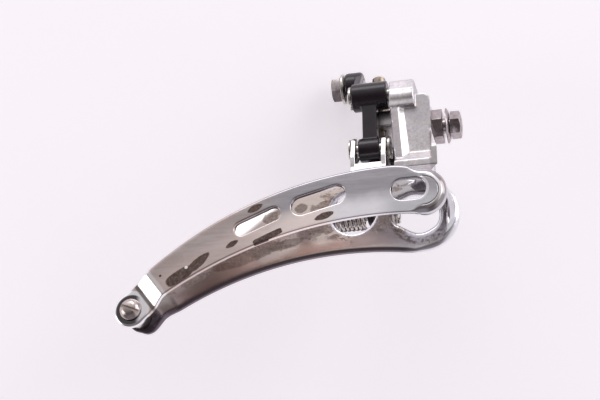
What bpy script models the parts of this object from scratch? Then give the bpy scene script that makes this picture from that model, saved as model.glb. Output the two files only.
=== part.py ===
"""Front derailleur for a bicycle: a braze-on body, two parallel arms and a chain cage.

Frame: +X forwards, +Y inboard (the outer side faces -Y), +Z up.  The origin is on the axis of
the mounting bolt, at the saddle face of the body.  Shapes are drawn in millimetres, and seat()
brings each finished piece to metres as it puts it on its joint's axis.
"""

import math

import bmesh
import bpy
from mathutils import Matrix, Vector

MM = 0.001
GAP = 0.3  # space between pieces that touch

# ---- driving dimensions -------------------------------------------------------------------

# linkage: a parallelogram of four pivots whose axes run along X, each given as (y, z)
ARM_LENGTH = 19.6
UPPER_OUTER = (-3.2, 12.2)
UPPER_INNER = (9.3, -5.5)
LOWER_OUTER = (UPPER_OUTER[0], UPPER_OUTER[1] - ARM_LENGTH)
LOWER_INNER = (UPPER_INNER[0], UPPER_INNER[1] - ARM_LENGTH)
PIN_RADIUS = 2.2
BORE_RADIUS = PIN_RADIUS + GAP
CLIP_RADIUS = 3.9
CLIP_THICK = 0.8
BARREL_RADIUS = 3.9
UPPER_BARREL_RADIUS = 4.8

# outer arm along X
OUTER_ARM_BACK = -25.5
OUTER_ARM_FRONT = -13.6
OUTER_LOWER_BACK = -23.6
OUTER_LOWER_FRONT = -16.6
COLUMN_BACK = -22.7
COLUMN_FRONT = -17.3

# inner arm along X
INNER_ARM_BACK = -23.4
INNER_ARM_FRONT = -13.2
INNER_LOWER_FRONT = -16.2

# cage plates: planes across Y
OUTER_FACE = -23.0
PLATE_THICK = 1.5
INNER_FACE = -9.0
INNER_THICK = 1.4
EAR_STEP = 3.0  # the outer plate's tail steps inwards by this much
INNER_EAR_STEP = 1.6
TAIL = (-94.2, -62.0)
TAIL_EAR_RADIUS = 5.5
INNER_EAR_RADIUS = 4.3
FOLD_LEAN = 38.0  # the plates' direction at the tail, in degrees above -X
FOLD = (11.3, 5.8)  # where the step starts and ends, measured from the tail screw

# edges of the plates: circles in the XZ plane as (x, z, radius)
OUTER_TOP = (-10.7, -144.1, 121.5)
OUTER_BOTTOM = (-12.6, -170.3, 131.7)
INNER_TOP = (-14.5, -143.2, 124.2)
INNER_BOTTOM = (-25.3, -163.0, 118.3)
OUTER_NOSE = (-0.86, -32.13, 7.0)
RING_NOSE = (-3.5, -33.9, 12.0)

# windows in the plates
SLOT_REAR = ((-57.8, -39.3), (-47.7, -35.3), 2.3)
SLOT_FRONT = ((-38.9, -33.4), (-27.8, -30.7), 3.1)
SLOT_NOSE = ((-7.1, -31.2), (-3.4, -31.2), 3.5)
SPRING_HOLE = (-25.1, -31.3, 7.3)
RING_HOLE = (-4.1, -34.3, 6.6)

# ears that carry the lower pivots, planes across X
FRONT_EAR = (-15.8, -14.2)
REAR_EAR = (-25.9, -24.3)
SPRING_EAR = (-36.4, -34.8)
EYE_RADIUS = 4.2

# body
SADDLE_RADIUS = 14.3
SADDLE_DEPTH = -0.8
BODY_BACK = -12.4
SLAB_SIDES = (-6.0, 5.0)
FOOT_SIDES = (-9.0, 5.0)
SLAB_TOP = 10.3
BOSS_TOP = 15.6
BODY_FOOT = -17.4

# limit screws: vertical, threaded through the body's rear shelf
SHELF = ((-22.4, 0.3, 2.6), (-12.0, 18.0, 8.4))
LIMIT_X = -17.8
LIMIT_RADIUS = 1.5
LIMIT_HEAD_RADIUS = 2.25
LIMIT_HEAD_HIGH = 2.6
LIMIT_LENGTH = 23.4
HIGH_SCREW_Y = UPPER_INNER[0] - 5.0
LOW_SCREW_Y = UPPER_INNER[0] + 5.6
HIGH_TIP = -0.5
LOW_TIP = -3.7
LUG_TOP = -4.0

# cable clamp on the outer arm, axis along X, given as (y, z)
CLAMP = (7.0, 21.8)
CLAMP_BOSS = (-29.8, -22.8)
CLAMP_RADIUS = 5.3

# mounting bolt set along X
BOLT_RADIUS = 2.5
SPACER_FLATS = 10.0
SPACER_END = 4.0
WASHER_BACK = 5.1
WASHER_FRONT = 6.2
HEAD_FLATS = 8.0
HEAD_END = 9.8

ROUND = 32


# ---- small helpers ------------------------------------------------------------------------

def clear_scene():
    for obj in list(bpy.data.objects):
        bpy.data.objects.remove(obj, do_unlink=True)


def new_collection(name):
    group = bpy.data.collections.new(name)
    bpy.context.scene.collection.children.link(group)
    return group


def make_material(name, colour, roughness, metallic):
    material = bpy.data.materials.new(name)
    material.use_nodes = True
    shader = material.node_tree.nodes["Principled BSDF"]
    shader.inputs["Base Color"].default_value = (*colour, 1.0)
    shader.inputs["Roughness"].default_value = roughness
    shader.inputs["Metallic"].default_value = metallic
    return material


AXES = {
    "X": Matrix(((0, 0, 1), (1, 0, 0), (0, 1, 0))).to_4x4(),
    "Y": Matrix(((1, 0, 0), (0, 0, -1), (0, 1, 0))).to_4x4(),
    "Z": Matrix.Identity(4),
}
AXIS_VECTOR = {"X": Vector((1, 0, 0)), "Y": Vector((0, 1, 0)), "Z": Vector((0, 0, 1))}


def along(axis, flat, height):
    """A point from its two coordinates across an axis and its height along it."""
    if axis == "X":
        return Vector((height, flat[0], flat[1]))
    if axis == "Y":
        return Vector((flat[0], height, flat[1]))
    return Vector((flat[0], flat[1], height))


def object_from_bmesh(name, shape):
    bmesh.ops.recalc_face_normals(shape, faces=shape.faces[:])
    mesh = bpy.data.meshes.new(name)
    shape.to_mesh(mesh)
    shape.free()
    obj = bpy.data.objects.new(name, mesh)
    parts.objects.link(obj)
    return obj


def mesh_from(obj):
    """The evaluated object's mesh, in world space, welded."""
    bpy.context.view_layer.update()
    graph = bpy.context.evaluated_depsgraph_get()
    mesh = bpy.data.meshes.new_from_object(obj.evaluated_get(graph))
    mesh.transform(obj.matrix_world)
    shape = bmesh.new()
    shape.from_mesh(mesh)
    bpy.data.meshes.remove(mesh)
    bmesh.ops.remove_doubles(shape, verts=shape.verts[:], dist=1e-4)
    return shape


def curve_to_solid(name, curve):
    wire = bpy.data.objects.new(name + "_curve", curve)
    parts.objects.link(wire)
    shape = mesh_from(wire)
    bpy.data.objects.remove(wire, do_unlink=True)
    return object_from_bmesh(name, shape)


def prism(name, outline, axis, low, high, holes=()):
    """A flat outline, in the two coordinates across an axis, extruded from low to high."""
    curve = bpy.data.curves.new(name, "CURVE")
    curve.dimensions = "2D"
    curve.fill_mode = "BOTH"
    curve.extrude = (high - low) / 2
    for loop in (outline, *holes):
        spline = curve.splines.new("POLY")
        spline.points.add(len(loop) - 1)
        for point, place in zip(spline.points, loop):
            point.co = (place[0], place[1], 0.0, 1.0)
        spline.use_cyclic_u = True
    solid = curve_to_solid(name, curve)
    solid.data.transform(AXES[axis])
    solid.data.transform(Matrix.Translation(AXIS_VECTOR[axis] * (low + high) / 2))
    return solid


def rod(name, axis, centre, radius, low, high, sides=ROUND, end_radius=None, turn=0.0):
    """A round bar, cone or, with few sides, a hexagon bar."""
    shape = bmesh.new()
    bmesh.ops.create_cone(
        shape,
        cap_ends=True,
        segments=sides,
        radius1=radius,
        radius2=radius if end_radius is None else end_radius,
        depth=high - low,
        matrix=Matrix.Rotation(math.radians(turn), 4, "Z"),
    )
    solid = object_from_bmesh(name, shape)
    solid.data.transform(AXES[axis])
    solid.data.transform(Matrix.Translation(along(axis, centre, (low + high) / 2)))
    return solid


def block(name, low, high):
    shape = bmesh.new()
    bmesh.ops.create_cube(shape, size=1.0)
    size = [b - a for a, b in zip(low, high)]
    middle = [(a + b) / 2 for a, b in zip(low, high)]
    bmesh.ops.scale(shape, vec=Vector(size), verts=shape.verts[:])
    bmesh.ops.translate(shape, vec=Vector(middle), verts=shape.verts[:])
    return object_from_bmesh(name, shape)


def turned(name, axis, centre, profile, ring=False, sides=ROUND):
    """A turned shape.  The profile is (radius, height) and runs down its outer side; a ring's
    profile closes on itself."""
    shape = bmesh.new()
    verts = [shape.verts.new((radius, 0.0, height)) for radius, height in profile]
    for first, second in zip(verts, verts[1:]):
        shape.edges.new((first, second))
    if ring:
        shape.edges.new((verts[-1], verts[0]))
    mesh = bpy.data.meshes.new(name)
    shape.to_mesh(mesh)
    shape.free()
    lathe = bpy.data.objects.new(name, mesh)
    parts.objects.link(lathe)
    screw = lathe.modifiers.new("turn", "SCREW")
    screw.steps = sides
    screw.render_steps = sides
    screw.use_merge_vertices = True
    screw.merge_threshold = 1e-4
    solid_shape = mesh_from(lathe)
    bpy.data.objects.remove(lathe, do_unlink=True)
    solid = object_from_bmesh(name, solid_shape)
    solid.data.transform(AXES[axis])
    solid.data.transform(Matrix.Translation(along(axis, centre, 0.0)))
    return solid


def combine(target, tool, operation):
    """Join a tool to an object or cut it away, and use the tool up."""
    modifier = target.modifiers.new(operation.lower(), "BOOLEAN")
    modifier.operation = operation
    modifier.object = tool
    modifier.solver = "EXACT"
    shape = mesh_from(target)
    target.modifiers.remove(modifier)
    bmesh.ops.dissolve_degenerate(shape, edges=shape.edges[:], dist=1e-5)
    shape.to_mesh(target.data)
    shape.free()
    bpy.data.objects.remove(tool, do_unlink=True)
    return target


def join(target, *tools):
    for tool in tools:
        combine(target, tool, "UNION")
    return target


def cut(target, *tools):
    for tool in tools:
        combine(target, tool, "DIFFERENCE")
    return target


def arc(centre, radius, start, end, steps):
    """Points on a circle between two angles in degrees."""
    points = []
    for step in range(steps + 1):
        angle = math.radians(start + (end - start) * step / steps)
        points.append((centre[0] + radius * math.cos(angle), centre[1] + radius * math.sin(angle)))
    return points


def edge_arc(circle, start_x, end_x, steps):
    """Points on the upper side of a large circle between two X values."""
    x, z, radius = circle
    points = []
    for step in range(steps + 1):
        here = start_x + (end_x - start_x) * step / steps
        points.append((here, z + math.sqrt(radius ** 2 - (here - x) ** 2)))
    return points


def stadium(first, second, radius, steps=8):
    """A slot outline from the centres of its two round ends."""
    lean = math.degrees(math.atan2(second[1] - first[1], second[0] - first[0]))
    outline = arc(first, radius, lean + 90, lean + 270, steps)
    outline += arc(second, radius, lean - 90, lean + 90, steps)
    return outline


def wire(name, points, radius):
    """A wire solid along a list of points."""
    curve = bpy.data.curves.new(name, "CURVE")
    curve.dimensions = "3D"
    curve.bevel_depth = radius
    curve.bevel_resolution = 2
    curve.use_fill_caps = True
    spline = curve.splines.new("POLY")
    spline.points.add(len(points) - 1)
    for point, place in zip(spline.points, points):
        point.co = (*place, 1.0)
    return curve_to_solid(name, curve)


def coil_points(axis, centre, radius, low, high, turns, start=0.0, per_turn=14):
    """Points along a coil round an axis."""
    count = int(turns * per_turn)
    points = []
    for step in range(count + 1):
        angle = math.radians(start) + 2 * math.pi * step / per_turn
        flat = (centre[0] + radius * math.cos(angle), centre[1] + radius * math.sin(angle))
        points.append(along(axis, flat, low + (high - low) * step / count))
    return points


def seat(obj, pivot, material):
    """Give an object its material, round shading and an origin on its joint's axis."""
    obj.data.materials.clear()
    obj.data.materials.append(material)
    obj.data.shade_smooth()
    obj.data.set_sharp_from_angle(angle=math.radians(35))
    obj.data.transform(Matrix.Scale(MM, 4))
    obj.data.transform(Matrix.Translation(-pivot.location))
    obj.parent = pivot
    return obj


def pivot_at(name, place):
    empty = bpy.data.objects.new(name, None)
    empty.location = Vector(place) * MM
    empty.empty_display_size = 5 * MM
    parts.objects.link(empty)
    return empty


def pivot_pin(name, centre, low, high, head=None):
    """A pivot pin along X, with an optional head at its rear end."""
    pin = rod(name, "X", centre, PIN_RADIUS, low, high)
    if head is not None:
        join(pin, rod("head", "X", centre, CLIP_RADIUS, low, low + head))
    return pin


def retaining_clip(name, centre, back):
    """A ring that holds a pin, split on one side."""
    profile = [
        (BORE_RADIUS, CLIP_THICK),
        (CLIP_RADIUS, CLIP_THICK),
        (CLIP_RADIUS, 0.0),
        (BORE_RADIUS, 0.0),
    ]
    clip = turned(name, "X", centre, profile, ring=True, sides=24)
    clip.data.transform(Matrix.Translation((back, 0, 0)))
    low = (back - 1.0, centre[0] - 0.9, centre[1] - CLIP_RADIUS - 1.0)
    high = (back + CLIP_THICK + 1.0, centre[0] + 0.9, centre[1] - 1.0)
    return cut(clip, block("split", low, high))


# ---- body and its fasteners ---------------------------------------------------------------

def make_body():
    slab = prism(
        "main_body",
        [(BODY_BACK, BODY_FOOT + 1.0), (BODY_BACK, SLAB_TOP), (-1.4, SLAB_TOP),
         (-0.1, SLAB_TOP - 0.5), (0.5, SLAB_TOP - 1.6), (3.0, SLAB_TOP - 1.9),
         (3.0, BODY_FOOT + 1.0)],
        "Y", *SLAB_SIDES,
    )
    foot = prism(
        "foot",
        [(SLAB_SIDES[0] + 0.5, -2.0), (FOOT_SIDES[0], -11.0), (FOOT_SIDES[0], BODY_FOOT),
         (FOOT_SIDES[1], BODY_FOOT), (FOOT_SIDES[1], -2.0)],
        "X", BODY_BACK, 3.0,
    )
    ridge = block("ridge", (BODY_BACK, -8.0, BODY_FOOT + 0.6), (-8.4, 0.0, 7.0))
    boss = prism(
        "boss",
        [(-8.2, 5.3), (-8.2, BOSS_TOP - 4.2), (-6.4, BOSS_TOP), (4.0, BOSS_TOP), (4.0, 5.3)],
        "X", -12.7, -4.4,
    )
    inner_lug = rod("lug", "X", UPPER_INNER, 4.6, BODY_BACK, -5.0)
    web = block("web", (BODY_BACK, 2.0, -9.0), (-5.0, UPPER_INNER[0], 6.0))
    shelf = block("shelf", *SHELF)
    shelf_root = block("shelf_root", (-13.0, 0.8, 3.0), (-6.0, 17.5, 8.0))
    join(slab, foot, ridge, boss, inner_lug, web, shelf, shelf_root)
    saddle = rod(
        "saddle", "Z", (SADDLE_DEPTH + SADDLE_RADIUS, 0.0), SADDLE_RADIUS, -40.0, 40.0, sides=96,
    )
    bolt_hole = rod("bolt_hole", "X", (0.0, 0.0), BOLT_RADIUS + GAP, -11.0, 5.0)
    outer_hole = rod("outer_hole", "X", UPPER_OUTER, BORE_RADIUS, -14.0, -5.7)
    inner_hole = rod("inner_hole", "X", UPPER_INNER, BORE_RADIUS, -14.0, -5.7)
    cut(slab, saddle, bolt_hole, outer_hole, inner_hole)
    for y in (LOW_SCREW_Y, HIGH_SCREW_Y):
        cut(slab, rod("thread", "Z", (LIMIT_X, y), LIMIT_RADIUS + GAP, 0.0, 12.0, sides=24))
    return slab


def make_mount_bolt():
    flats = HEAD_FLATS / math.sqrt(3)
    bolt = rod("mount_bolt", "X", (0, 0), BOLT_RADIUS, -10.0, WASHER_FRONT + 1.0)
    head = rod("head", "X", (0, 0), flats, WASHER_FRONT + GAP, HEAD_END, sides=6, turn=30)
    crown = rod("crown", "X", (0, 0), HEAD_FLATS / 2, HEAD_END - 0.1, HEAD_END + 0.4,
                end_radius=2.2)
    return join(bolt, head, crown)


def make_mount_washer():
    inner = BOLT_RADIUS + GAP
    profile = [(inner, WASHER_FRONT), (4.6, WASHER_FRONT), (5.9, WASHER_BACK + 0.4),
               (5.9, WASHER_BACK), (inner, WASHER_BACK)]
    return turned("mount_washer", "X", (0, 0), profile, ring=True)


def make_mount_spacer():
    radius = SPACER_FLATS / math.sqrt(3)
    spacer = rod("mount_spacer", "X", (0, 0), radius, -2.0, SPACER_END, sides=6, turn=30)
    saddle = rod("saddle", "Z", (SADDLE_DEPTH + SADDLE_RADIUS, 0.0), SADDLE_RADIUS - GAP,
                 -30.0, 30.0, sides=96)
    combine(spacer, saddle, "INTERSECT")
    return cut(spacer, rod("hole", "X", (0, 0), BOLT_RADIUS + GAP, -5.0, 8.0))


def make_limit_screw(name, y, tip):
    """A cylinder-head screw with a slot, upright in the shelf."""
    head_top = tip + LIMIT_LENGTH
    screw = rod(name, "Z", (LIMIT_X, y), LIMIT_RADIUS, tip, head_top - 1.0, sides=20)
    join(screw, rod("head", "Z", (LIMIT_X, y), LIMIT_HEAD_RADIUS, head_top - LIMIT_HEAD_HIGH,
                    head_top, sides=24))
    slot = block("slot", (LIMIT_X - 4.0, y - 0.35, head_top - 1.1),
                 (LIMIT_X + 4.0, y + 0.35, head_top + 1.0))
    return cut(screw, slot)


def make_limit_spring(name, y, tip):
    """The coil spring that stops a limit screw from turning by itself."""
    low = SHELF[1][2] + GAP + 0.25
    high = tip + LIMIT_LENGTH - LIMIT_HEAD_HIGH - GAP - 0.25
    points = coil_points("Z", (LIMIT_X, y), 2.1, low, high, 6, per_turn=12)
    return wire(name, points, 0.25)


# ---- arms ---------------------------------------------------------------------------------

def make_outer_arm():
    y, z = UPPER_OUTER
    arm = rod("outer_arm", "X", UPPER_OUTER, UPPER_BARREL_RADIUS, OUTER_ARM_BACK, OUTER_ARM_FRONT)
    column = prism(
        "column",
        [(COLUMN_BACK, LOWER_OUTER[1]), (COLUMN_BACK, z - 6.0), (OUTER_ARM_BACK + 0.8, z - 3.0),
         (OUTER_ARM_FRONT - 0.8, z - 3.0), (COLUMN_FRONT, z - 6.0), (COLUMN_FRONT, LOWER_OUTER[1])],
        "Y", y - 2.5, y + 2.3,
    )
    lower = rod("lower", "X", LOWER_OUTER, BARREL_RADIUS, OUTER_LOWER_BACK, OUTER_LOWER_FRONT)
    lever = prism(
        "lever",
        [(y - 1.0, z + 4.0), (y + 4.5, z - 1.5), (CLAMP[0] + 3.0, CLAMP[1] - 4.0),
         (CLAMP[0] - 3.5, CLAMP[1] + 3.5)],
        "X", OUTER_ARM_BACK, CLAMP_BOSS[1],
    )
    boss = rod("boss", "X", CLAMP, CLAMP_RADIUS, *CLAMP_BOSS)
    join(arm, column, lower, lever, boss)
    return cut(
        arm,
        rod("upper_bore", "X", UPPER_OUTER, BORE_RADIUS, -40.0, 0.0),
        rod("lower_bore", "X", LOWER_OUTER, BORE_RADIUS, -40.0, 0.0),
        rod("clamp_bore", "X", CLAMP, BOLT_RADIUS + GAP, -40.0, 0.0),
    )


def make_clamp_bolt():
    back, washer_face = -34.4, -31.4
    bolt = rod("cable_clamp_bolt", "X", CLAMP, BOLT_RADIUS, back + 1.0, CLAMP_BOSS[1] - 0.4)
    flats = HEAD_FLATS / math.sqrt(3)
    return join(bolt, rod("head", "X", CLAMP, flats, back, washer_face, sides=6))


def make_clamp_washer():
    inner = BOLT_RADIUS + GAP
    profile = [(inner, -30.1), (CLAMP_RADIUS, -30.1), (CLAMP_RADIUS, -31.1), (inner, -31.1)]
    return turned("cable_clamp_washer", "X", CLAMP, profile, ring=True)


def make_inner_arm():
    y = UPPER_INNER[0]
    arm = rod("inner_arm", "X", UPPER_INNER, BARREL_RADIUS, INNER_ARM_BACK, INNER_ARM_FRONT)
    lower = rod("lower", "X", LOWER_INNER, BARREL_RADIUS, INNER_ARM_BACK, INNER_LOWER_FRONT)
    column = block("column", (-22.6, y - 2.4, LOWER_INNER[1]), (-17.0, y + 2.4, UPPER_INNER[1]))
    lugs = block("lugs", (-20.2, HIGH_SCREW_Y - 0.6, LUG_TOP - 3.2), (-15.4, LOW_SCREW_Y + 0.6, LUG_TOP))
    join(arm, lower, column, lugs)
    return cut(
        arm,
        rod("upper_bore", "X", UPPER_INNER, BORE_RADIUS, -40.0, 0.0),
        rod("lower_bore", "X", LOWER_INNER, BORE_RADIUS, -40.0, 0.0),
    )


# ---- cage ---------------------------------------------------------------------------------

def stepped_strip(name, face, thick, step):
    """A strip along the cage, flat and then stepped sideways across a fold near its tail."""
    near = [(130.0, face), (FOLD[0], face), (FOLD[1], face + step), (-20.0, face + step)]
    far = [(x, y + thick) for x, y in reversed(near)]
    strip = prism(name, near + far, "Z", -90.0, 90.0)
    strip.data.transform(Matrix.Rotation(math.radians(-FOLD_LEAN), 4, "Y"))
    strip.data.transform(Matrix.Translation((TAIL[0], 0, TAIL[1])))
    return strip


def make_bridge():
    """The band that leads from the outer plate's nose back to the inner plate's ring: rows of
    points on circles whose centre and radius grow from one to the other."""
    rows, columns = 6, 12
    start_y, end_y = OUTER_FACE + 0.4, INNER_FACE - 2 * GAP
    shape = bmesh.new()
    grid = []
    for row in range(rows + 1):
        part = row / rows
        grow = part ** 1.6
        x = OUTER_NOSE[0] + (RING_NOSE[0] - OUTER_NOSE[0]) * part
        z = OUTER_NOSE[1] + (RING_NOSE[1] - OUTER_NOSE[1]) * part
        radius = OUTER_NOSE[2] + (RING_NOSE[2] - 1.0 - OUTER_NOSE[2]) * grow
        y = start_y + (end_y - start_y) * part
        ring = arc((x, z), radius, -12.0, 105.0, columns)
        grid.append([shape.verts.new((px, y, pz)) for px, pz in ring])
    for row in range(rows):
        for column in range(columns):
            shape.faces.new((grid[row][column], grid[row + 1][column],
                             grid[row + 1][column + 1], grid[row][column + 1]))
    band = object_from_bmesh("bridge", shape)
    shell = band.modifiers.new("thickness", "SOLIDIFY")
    shell.thickness = 1.4
    shell.offset = -1.0
    solid = mesh_from(band)
    bpy.data.objects.remove(band, do_unlink=True)
    return object_from_bmesh("bridge", solid)


def make_outer_plate():
    outline = [(-95.2, -56.2), (-92.2, -53.3)]
    outline += edge_arc(OUTER_TOP, -88.6, -10.0, 26)
    outline += [(-5.5, -23.5)]
    outline += arc(OUTER_NOSE[:2], OUTER_NOSE[2], 85, -85, 14)
    outline += edge_arc(OUTER_BOTTOM, -4.0, -82.6, 24)
    outline += [(-84.3, -60.0), (-86.0, -61.5), (-87.6, -63.3)]
    outline += arc(TAIL, TAIL_EAR_RADIUS, -34, -245, 17)
    holes = [stadium(*SLOT_REAR), stadium(*SLOT_FRONT), stadium(*SLOT_NOSE),
             arc(TAIL, 2.2, 0, 345, 23)]
    plate = prism("cage_outer_plate", outline, "Y", -30.0, -10.0, holes=holes)
    strip = stepped_strip("strip", OUTER_FACE, PLATE_THICK, EAR_STEP)
    combine(plate, strip, "INTERSECT")
    return join(plate, make_bridge())


def ear(name, across, outline):
    return prism(name, outline, "X", *across)


def make_inner_plate():
    outline = [(-92.6, -56.0)]
    outline += edge_arc(INNER_TOP, -87.0, -36.0, 14)
    outline += [(-25.9, -17.6), (-25.9, -14.2), (-14.2, -14.2), (-14.2, -18.4), (-9.5, -21.6)]
    outline += arc(RING_NOSE[:2], RING_NOSE[2], 95, -85, 18)
    outline += edge_arc(INNER_BOTTOM, -6.0, -86.0, 24)
    outline += [(-87.6, -63.6), (-89.0, -65.6), (-90.4, -66.8), (-92.3, -67.2)]
    outline += arc(TAIL, INNER_EAR_RADIUS, -95, -255, 13)
    ring_hole = arc(RING_HOLE[:2], RING_HOLE[2], 20, -110, 12)
    ring_hole += [(-9.0, -38.8), (-12.8, -36.4), (-13.0, -32.9), (-10.6, -28.6)]
    ring_hole += arc((-6.2, -29.4), 2.4, 130, 90, 3)
    ring_hole += [(-1.6, -27.6)]
    holes = [ring_hole, arc(SPRING_HOLE[:2], SPRING_HOLE[2], 0, 345, 23), arc(TAIL, 2.2, 0, 345, 23)]
    plate = prism("cage_inner_plate", outline, "Y", -20.0, 0.0, holes=holes)
    strip = stepped_strip("strip", INNER_FACE, INNER_THICK, -INNER_EAR_STEP)
    combine(plate, strip, "INTERSECT")
    back = INNER_FACE + 0.2
    outer_eye = arc(LOWER_OUTER, EYE_RADIUS, 150, -20, 10)
    front = outer_eye + arc(LOWER_INNER, EYE_RADIUS, 50, -100, 10)
    front += [(back, -33.0), (back, -12.0)]
    rear = outer_eye + [(back + 2.5, -14.6), (back, -17.4), (back, -12.0)]
    spring = arc(LOWER_INNER, EYE_RADIUS, 100, -100, 12) + [(back, -33.0), (back, -20.5)]
    join(plate, ear("front_ear", FRONT_EAR, front), ear("rear_ear", REAR_EAR, rear),
         ear("spring_ear", SPRING_EAR, spring))
    return cut(
        plate,
        rod("outer_bore", "X", LOWER_OUTER, BORE_RADIUS, -50.0, 0.0),
        rod("inner_bore", "X", LOWER_INNER, BORE_RADIUS, -50.0, 0.0),
    )


def make_tail_screw():
    face = OUTER_FACE + EAR_STEP - GAP
    head = [(0.0, -face + 2.2), (1.6, -face + 2.0), (2.9, -face + 1.4), (3.7, -face + 0.5),
            (3.9, -face), (0.0, -face)]
    screw = turned("tail_screw", "Z", (0, 0), head, sides=28)
    screw.data.transform(Matrix.Rotation(math.radians(90), 4, "X"))
    screw.data.transform(Matrix.Translation((TAIL[0], 0, TAIL[1])))
    shank_end = INNER_FACE - INNER_EAR_STEP + INNER_THICK + 0.6
    join(screw, rod("shank", "Y", TAIL, 1.9, face - 0.5, shank_end, sides=24))
    slot = block("slot", (-5.0, face - 3.0, -0.4), (5.0, face - 1.1, 0.4))
    slot.data.transform(Matrix.Rotation(math.radians(22), 4, "Y"))
    slot.data.transform(Matrix.Translation((TAIL[0], 0, TAIL[1])))
    return cut(screw, slot)


def make_tail_spacer():
    low = OUTER_FACE + EAR_STEP + PLATE_THICK + GAP
    high = INNER_FACE - INNER_EAR_STEP - GAP
    spacer = rod("tail_spacer", "Y", TAIL, 3.6, low, high)
    return cut(spacer, rod("hole", "Y", TAIL, 2.2, low - 1.0, high + 1.0, sides=24))


def make_return_spring():
    """Torsion spring round the lower inner pivot: one leg rests under the cage's rear ear, the
    other on the inner arm."""
    radius, low, high = 4.7, -33.9, -24.6
    points = coil_points("X", LOWER_INNER, radius, low, high, 5.5, start=90.0, per_turn=14)
    y, z = LOWER_INNER
    points.insert(0, Vector((low - 0.2, y - 6.0, z + radius)))
    points.append(Vector((high + 0.2, y + 5.5, z - radius)))
    return wire("return_spring", points, 0.6)


# ---- assembly -----------------------------------------------------------------------------

clear_scene()
parts = new_collection("front_derailleur")

ALUMINIUM = make_material("cast_aluminium", (0.72, 0.72, 0.70), 0.35, 1.0)
CHROME = make_material("chrome", (0.70, 0.69, 0.69), 0.12, 1.0)
DARK_STEEL = make_material("dark_steel", (0.30, 0.26, 0.25), 0.22, 1.0)
BLACK = make_material("black_anodised", (0.02, 0.02, 0.03), 0.3, 0.6)
STEEL = make_material("plated_steel", (0.62, 0.60, 0.55), 0.25, 1.0)

body_frame = pivot_at("body_frame", (0, 0, 0))
outer_arm_axis = pivot_at("outer_arm_axis", (0, *UPPER_OUTER))
inner_arm_axis = pivot_at("inner_arm_axis", (0, *UPPER_INNER))
cage_axis = pivot_at("cage_axis", (0, *LOWER_INNER))
low_screw_axis = pivot_at("low_screw_axis", (LIMIT_X, LOW_SCREW_Y, 0))
high_screw_axis = pivot_at("high_screw_axis", (LIMIT_X, HIGH_SCREW_Y, 0))

seat(make_body(), body_frame, ALUMINIUM)
seat(make_mount_bolt(), body_frame, DARK_STEEL)
seat(make_mount_washer(), body_frame, DARK_STEEL)
seat(make_mount_spacer(), body_frame, DARK_STEEL)
clip_back = OUTER_ARM_BACK - GAP - CLIP_THICK
seat(pivot_pin("upper_outer_pin", UPPER_OUTER, clip_back - 0.7, -6.0), body_frame, STEEL)
seat(retaining_clip("upper_outer_clip", UPPER_OUTER, clip_back), body_frame, STEEL)
clip_back = INNER_ARM_BACK - GAP - CLIP_THICK
seat(pivot_pin("upper_inner_pin", UPPER_INNER, clip_back - 0.7, -6.0), body_frame, STEEL)
seat(retaining_clip("upper_inner_clip", UPPER_INNER, clip_back), body_frame, STEEL)
seat(make_limit_spring("limit_spring_low", LOW_SCREW_Y, LOW_TIP), body_frame, STEEL)
seat(make_limit_spring("limit_spring_high", HIGH_SCREW_Y, HIGH_TIP), body_frame, STEEL)

seat(make_limit_screw("limit_screw_low", LOW_SCREW_Y, LOW_TIP), low_screw_axis, STEEL)
seat(make_limit_screw("limit_screw_high", HIGH_SCREW_Y, HIGH_TIP), high_screw_axis, STEEL)

seat(make_outer_arm(), outer_arm_axis, BLACK)
seat(make_clamp_bolt(), outer_arm_axis, STEEL)
seat(make_clamp_washer(), outer_arm_axis, STEEL)
seat(make_inner_arm(), inner_arm_axis, BLACK)

seat(make_outer_plate(), cage_axis, CHROME)
seat(make_inner_plate(), cage_axis, CHROME)
seat(make_tail_spacer(), cage_axis, STEEL)
seat(make_tail_screw(), cage_axis, STEEL)
clip_back = FRONT_EAR[1] + GAP
seat(pivot_pin("lower_outer_pin", LOWER_OUTER, REAR_EAR[0] - 1.1, clip_back + CLIP_THICK, head=0.8),
     cage_axis, STEEL)
seat(retaining_clip("lower_outer_clip", LOWER_OUTER, clip_back), cage_axis, STEEL)
seat(pivot_pin("lower_inner_pin", LOWER_INNER, SPRING_EAR[0] - 1.1, clip_back + CLIP_THICK, head=0.8),
     cage_axis, STEEL)
seat(retaining_clip("lower_inner_clip", LOWER_INNER, clip_back), cage_axis, STEEL)
seat(make_return_spring(), cage_axis, STEEL)
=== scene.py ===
"""Looks of the front derailleur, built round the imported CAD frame.

Shapes are drawn in millimetres in the frame's axes (+X forwards, +Y inboard, +Z up) and are
brought to metres as they are placed on their bodies.
"""

import math
from functools import partialmethod, reduce

import bmesh
import bpy
import numpy as np
from mathutils import Matrix, Vector, geometry


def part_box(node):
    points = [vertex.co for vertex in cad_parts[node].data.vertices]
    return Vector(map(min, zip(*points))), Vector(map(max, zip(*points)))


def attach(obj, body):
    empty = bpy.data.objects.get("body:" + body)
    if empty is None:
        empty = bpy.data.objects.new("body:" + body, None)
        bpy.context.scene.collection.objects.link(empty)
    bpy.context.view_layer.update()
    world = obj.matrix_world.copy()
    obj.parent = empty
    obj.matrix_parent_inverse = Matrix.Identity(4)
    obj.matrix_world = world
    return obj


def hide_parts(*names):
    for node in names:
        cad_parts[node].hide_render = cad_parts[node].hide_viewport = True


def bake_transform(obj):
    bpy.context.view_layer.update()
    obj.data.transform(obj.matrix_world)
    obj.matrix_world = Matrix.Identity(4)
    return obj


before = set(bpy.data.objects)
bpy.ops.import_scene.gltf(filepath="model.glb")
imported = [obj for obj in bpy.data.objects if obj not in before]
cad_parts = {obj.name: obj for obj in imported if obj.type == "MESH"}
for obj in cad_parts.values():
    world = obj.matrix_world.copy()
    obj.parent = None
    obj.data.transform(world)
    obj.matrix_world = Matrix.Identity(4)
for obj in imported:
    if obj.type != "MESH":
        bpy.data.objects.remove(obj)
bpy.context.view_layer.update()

MM = 0.001
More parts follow.
